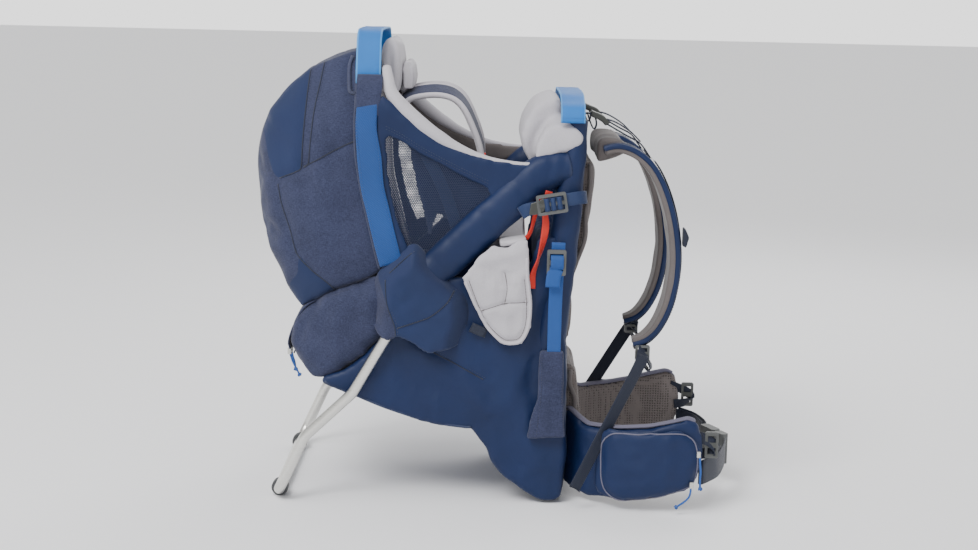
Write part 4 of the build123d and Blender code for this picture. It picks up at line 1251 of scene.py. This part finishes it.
# ------------------------------------------------------------------ hip belt
crumple(wing, 0.04, 0.003, seed=23)
for face in wing.data.polygons:
    inner_side = face.normal.y > 0.35 or (face.normal.x > 0.4 and face.center.x < 0.2)
    face.material_index = 1 if inner_side else 0
wing_L = other_side(wing, "hip_wing_L_pad")
dress(wing, ["navy", "holes"], "frame", ["hip_wing_R"], subdivide=1)
dress(wing_L, ["navy", "holes"], "frame", ["hip_wing_L"], subdivide=1)
plan = resample(np.array(WING_PLAN) * MM, count=40)
tops = np.array(WING_TOP) * MM
top_line = [(x, y + 0.002, np.interp(x, tops[:, 0], tops[:, 1]) - 0.001) for x, y in plan if x < 0.300]
roll("hip_wing_binding", top_line, (0.014, 0.006), "piping", wide=(0.3, 1, 0), step=0.005)
crumple(hip_pocket, 0.035, 0.0035, seed=24)
PIPE = [
    (163, 108), (176, 117), (212, 119), (266, 122), (288, 115), (297, 100), (299, 72), (295, 50),
    (285, 40), (231, 22), (190, 16), (169, 24), (160, 42), (158, 70), (158, 96),
]
press(hip_pocket, [PIPE + PIPE[:1]], 0.005, 0.0022)
dress(hip_pocket, "navy", "frame", ["hip_pockets"], mirror=True, subdivide=1)
piping = laid_on(bvh(hip_pocket), PIPE + PIPE[:1], lift=0.0002)
welt("hip_pocket_piping", piping, "frame", "piping", 0.0022)
press(hip_pocket, [[(176, 60), (220, 70), (280, 66)], [(190, 36), (240, 50)]], 0.014, -0.002)
# The right webbing is given no body, and the left one stays with the frame
HIP_WEB_R = [(309, -163, 58), (318, -152, 58), (338, -120, 58), (353, -72, 58), (361, -32, 58)]
HIP_WEB_L = [(309, 163, 58), (318, 153, 58), (334, 122, 58), (343, 70, 58), (336, 33, 58)]


def under(route):
    """The webbing's own end, which is turned back along its inner face."""
    return [(x - 4, y * 0.985, z - 1) for x, y, z in route[:4]]


for name, route, width, thick, node in [
    ("hip_web_R", HIP_WEB_R, 0.038, 0.0022, "hip_webbing_R"),
    ("hip_web_R_tail", under(HIP_WEB_R), 0.036, 0.002, None),
]:
    between(name, metres(route), width, (0, 0, 1), node, False, thick)
strap("hip_web_L", metres(HIP_WEB_L), 0.038, 0.0022, "dark", wide=(0, 0, 1), node="hip_webbing_L",
      mirror=False)
strap("hip_web_L_tail", metres(under(HIP_WEB_L)), 0.036, 0.002, "dark", wide=(0, 0, 1), mirror=False)
STABILISER = [
    (292, -160, 116), (306, -161, 111), (320, -161.4, 105), (328, -160.6, 97), (326, -158, 90),
    (314, -156, 86), (300, -157, 84),
]
strap("hip_stabiliser_web", metres(STABILISER), 0.016, 0.002, "dark", wide=(0.5, 0.25, 0.8), step=0.003)

# ------------------------------------------------------------------ shoulder harness
SHOULDER = [
    (150, 530), (171, 535), (196, 528), (222, 506), (243, 466), (257, 416), (262, 362), (255, 308),
    (240, 270), (222, 249), (203, 241),
]
SHOULDER_WIDE = [0.062, 0.064, 0.064, 0.064, 0.062, 0.060, 0.060, 0.058, 0.056, 0.046, 0.024]
SHOULDER_THICK = [0.014, 0.015, 0.016, 0.017, 0.018, 0.018, 0.018, 0.017, 0.015, 0.012]
shoulder = sweep("shoulder_strap_R_pad", side(SHOULDER, -92), SHOULDER_WIDE, SHOULDER_THICK, step=0.005)
# The second half of each ring faces the wearer
RING = 16
for n, face in enumerate(shoulder.data.polygons):
    face.material_index = 1 if n % RING >= RING // 2 - 1 else 0
crumple(shoulder, 0.04, 0.002, seed=25)
left = other_side(shoulder, "shoulder_strap_L_pad")
dress(shoulder, ["navy", "warm"], "harness", ["shoulder_strap_R"], subdivide=1)
dress(left, ["navy", "warm"], "harness", ["shoulder_strap_L"], subdivide=1)
line = resample(side(SHOULDER, -92), 0.01)
_, wides, outs = frames(line, (0, 1, 0))
half = np.interp(np.linspace(0, 1, len(line)), np.linspace(0, 1, len(SHOULDER_WIDE)), SHOULDER_WIDE) / 2
for n, edge in enumerate((-1, 1)):
    rail = line + wides * (edge * (half - 0.0005))[:, None] + outs * 0.0035
    roll(f"shoulder_binding_{n}", rail, (0.005, 0.008), "navy", "harness")
    stitch(line + wides * (edge * (half - 0.007))[:, None] + outs * 0.0095, "harness")
outer_web = line + outs * 0.0102
strap("shoulder_outer_web", outer_web[8:], 0.022, 0.0018, "dark", "harness", step=0.005)
crumple(yoke, 0.04, 0.002, seed=26)
dress(yoke, "warm", "harness", ["yoke_pad"], subdivide=1)
LIFTER = [(122, 582), (130, 583), (148, 572), (184, 552), (206, 540), (222, 519)]
LIFTER_TAIL = [(134, 582), (150, 576), (168, 571), (190, 558), (206, 543)]
LIFTER_LOCK = [(132, 588), (150, 581), (160, 570), (153, 565), (146, 573), (130, 579)]
TOP_LOOP = [(126, 584), (130, 572), (136, 560), (140, 566), (138, 577), (132, 585)]
LOWER = [
    (222, -104, 236), (220, -110, 226), (212, -130, 210), (167, -157, 126), (122, -184, 42),
    (119, -185, 36),
]
TAIL_LOOP = [
    (220, -104, 224), (228, -107, 214), (232, -109, 206), (230, -110, 200), (224, -109, 206),
    (220, -107, 214),
]
between("load_lifter_webs", side(LIFTER, -79), 0.018,
        node="load_lifters")
between("lower_webs", metres(LOWER), 0.020,
        wide=(0.85, 0.5, -0.2), node="lower_webbings", step=0.005)
strap("strap_tail_loops", metres(TAIL_LOOP), 0.016, 0.002, "dark", "harness", (0.3, 1, 0), step=0.003)
lifter_lock = remesh(prisms("load_lifter_locks", [(LIFTER_LOCK, -90, -69)]), 0.002, 3)
dress(lifter_lock, "plastic", "frame", mirror=True)
between("load_lifter_tails", side(LIFTER_TAIL, -79), 0.018)
strap("top_loops", side(TOP_LOOP, -79), 0.014, 0.002, "dark", step=0.003)
tab_outline = [(271.6, 420), (275, 418), (281, 405), (277, 389), (271.6, 392)]
sternum_tab = remesh(prisms("sternum_tabs", [(tab_outline, -122, -104)]), 0.002, 2)
dress(sternum_tab, "dark", "harness", mirror=True)

# Sternum strap
STERNUM_MALE = [(269, -84, 404), (269.5, -60, 404), (269.5, -24, 404)]
STERNUM_FEMALE = [(269.5, 22, 404), (269.5, 70, 404), (268.5, 110, 404)]
for name, route, body_name, node in [
    ("sternum_web_male", STERNUM_MALE, "sternum_male", "sternum_buckle"),
    ("sternum_web_female", STERNUM_FEMALE, "harness", "sternum_strap"),
]:
    strap(name, metres(route), 0.018, 0.002, "dark", body_name, (0, 0, 1), node, mirror=False)
STERNUM_SHELL = [(264.5, 392), (264.5, 416), (273.5, 416), (273.5, 392)]
STERNUM_TIP = [(267, 397), (267, 411), (271, 411), (271, 397)]


def sternum_half(name, parts, body_name):
    """One half of the small buckle, with rounded edges."""
    dress(remesh(prisms(name, parts), 0.0014, 3), "plastic", body_name)


sternum_half("sternum_male_shell", [(STERNUM_SHELL, -23.5, -0.5), (STERNUM_TIP, -1.5, 10)], "sternum_male")
sternum_half("sternum_female_shell", [(STERNUM_SHELL, 0.5, 22)], "harness")

# ------------------------------------------------------------------ CAD nodes that stay, with their materials
KEPT = {
    "tube": ["frame_hoop", "seat_arms", "rear_hoop", "kickstand_tube"],
    "hub": ["hubs", "kickstand_knuckles", "back_panel_plate"],
    "steel": ["pivot_pins"],
    "rubber": ["kickstand_rings", "front_foot"],
    "plastic": [
        "side_buckles", "webbing_adjusters", "strap_ladders", "hip_buckle_female", "hip_buckle_male",
        "hip_prong_upper", "hip_prong_lower",
    ],
    "zip": ["zip_sliders"],
}
for look, names in KEPT.items():
    for name in names:
        o = nodes[name]
        o.data.materials.clear()
        o.data.materials.append(LOOKS[look])
        if look in ("plastic", "rubber"):
            m = o.modifiers.new("soft_edges", "BEVEL")
            m.width = 0.0007
            m.segments = 2
            m.limit_method = "ANGLE"
            m.angle_limit = math.radians(40)

make_stitches()

# ------------------------------------------------------------------ floor and light
FLOOR = srgb(244, 244, 246)
floor_look = Look("floor", 0.9)
floor = bpy.data.meshes.new("floor")
floor.from_pydata([(-30, -30, 0), (30, -30, 0), (30, 30, 0), (-30, 30, 0)], [], [(0, 1, 2, 3)])
floor = bpy.data.objects.new("floor", floor)
floor.location.z = -0.0005
scene.collection.objects.link(floor)
floor.data.materials.append(floor_look.finish(shade(floor_look, floor_look.object_place, FLOOR, 0.003)))
world = bpy.data.worlds.new("studio")
world.use_nodes = True
# The sky is brightest near the horizon, like the curved wall of a studio
background = world.node_tree.nodes["Background"]
background.inputs[0].default_value = (1, 1, 1, 1)
place = world.node_tree.nodes.new("ShaderNodeTexCoord")
split = world.node_tree.nodes.new("ShaderNodeSeparateXYZ")
band = world.node_tree.nodes.new("ShaderNodeMapRange")
for socket, value in enumerate((0.02, 0.35, 1.9, 0.65), 1):
    band.inputs[socket].default_value = value
world.node_tree.links.new(place.outputs["Generated"], split.inputs[0])
world.node_tree.links.new(split.outputs[2], band.inputs[0])
world.node_tree.links.new(band.outputs[0], background.inputs[1])
scene.world = world


def lamp(name, place, size, power):
    light = bpy.data.lights.new(name, "AREA")
    light.size = size
    light.energy = power
    o = bpy.data.objects.new(name, light)
    scene.collection.objects.link(o)
    o.location = place
    o.rotation_mode = "QUATERNION"
    o.rotation_quaternion = (TARGET - Vector(place)).to_track_quat("-Z", "Y")


lamp("key", (-1.1, -1.7, 2.3), 1.0, 48)
lamp("rim_light", (0.8, 1.8, 1.9), 1.4, 22)
sun = bpy.data.lights.new("sun", "SUN")
sun.energy = 1.6
sun.angle = 0.9
sun_lamp = bpy.data.objects.new("sun", sun)
scene.collection.objects.link(sun_lamp)
sun_lamp.rotation_mode = "QUATERNION"
sun_lamp.rotation_quaternion = Vector((0.35, 0.5, -1)).to_track_quat("-Z", "Y")
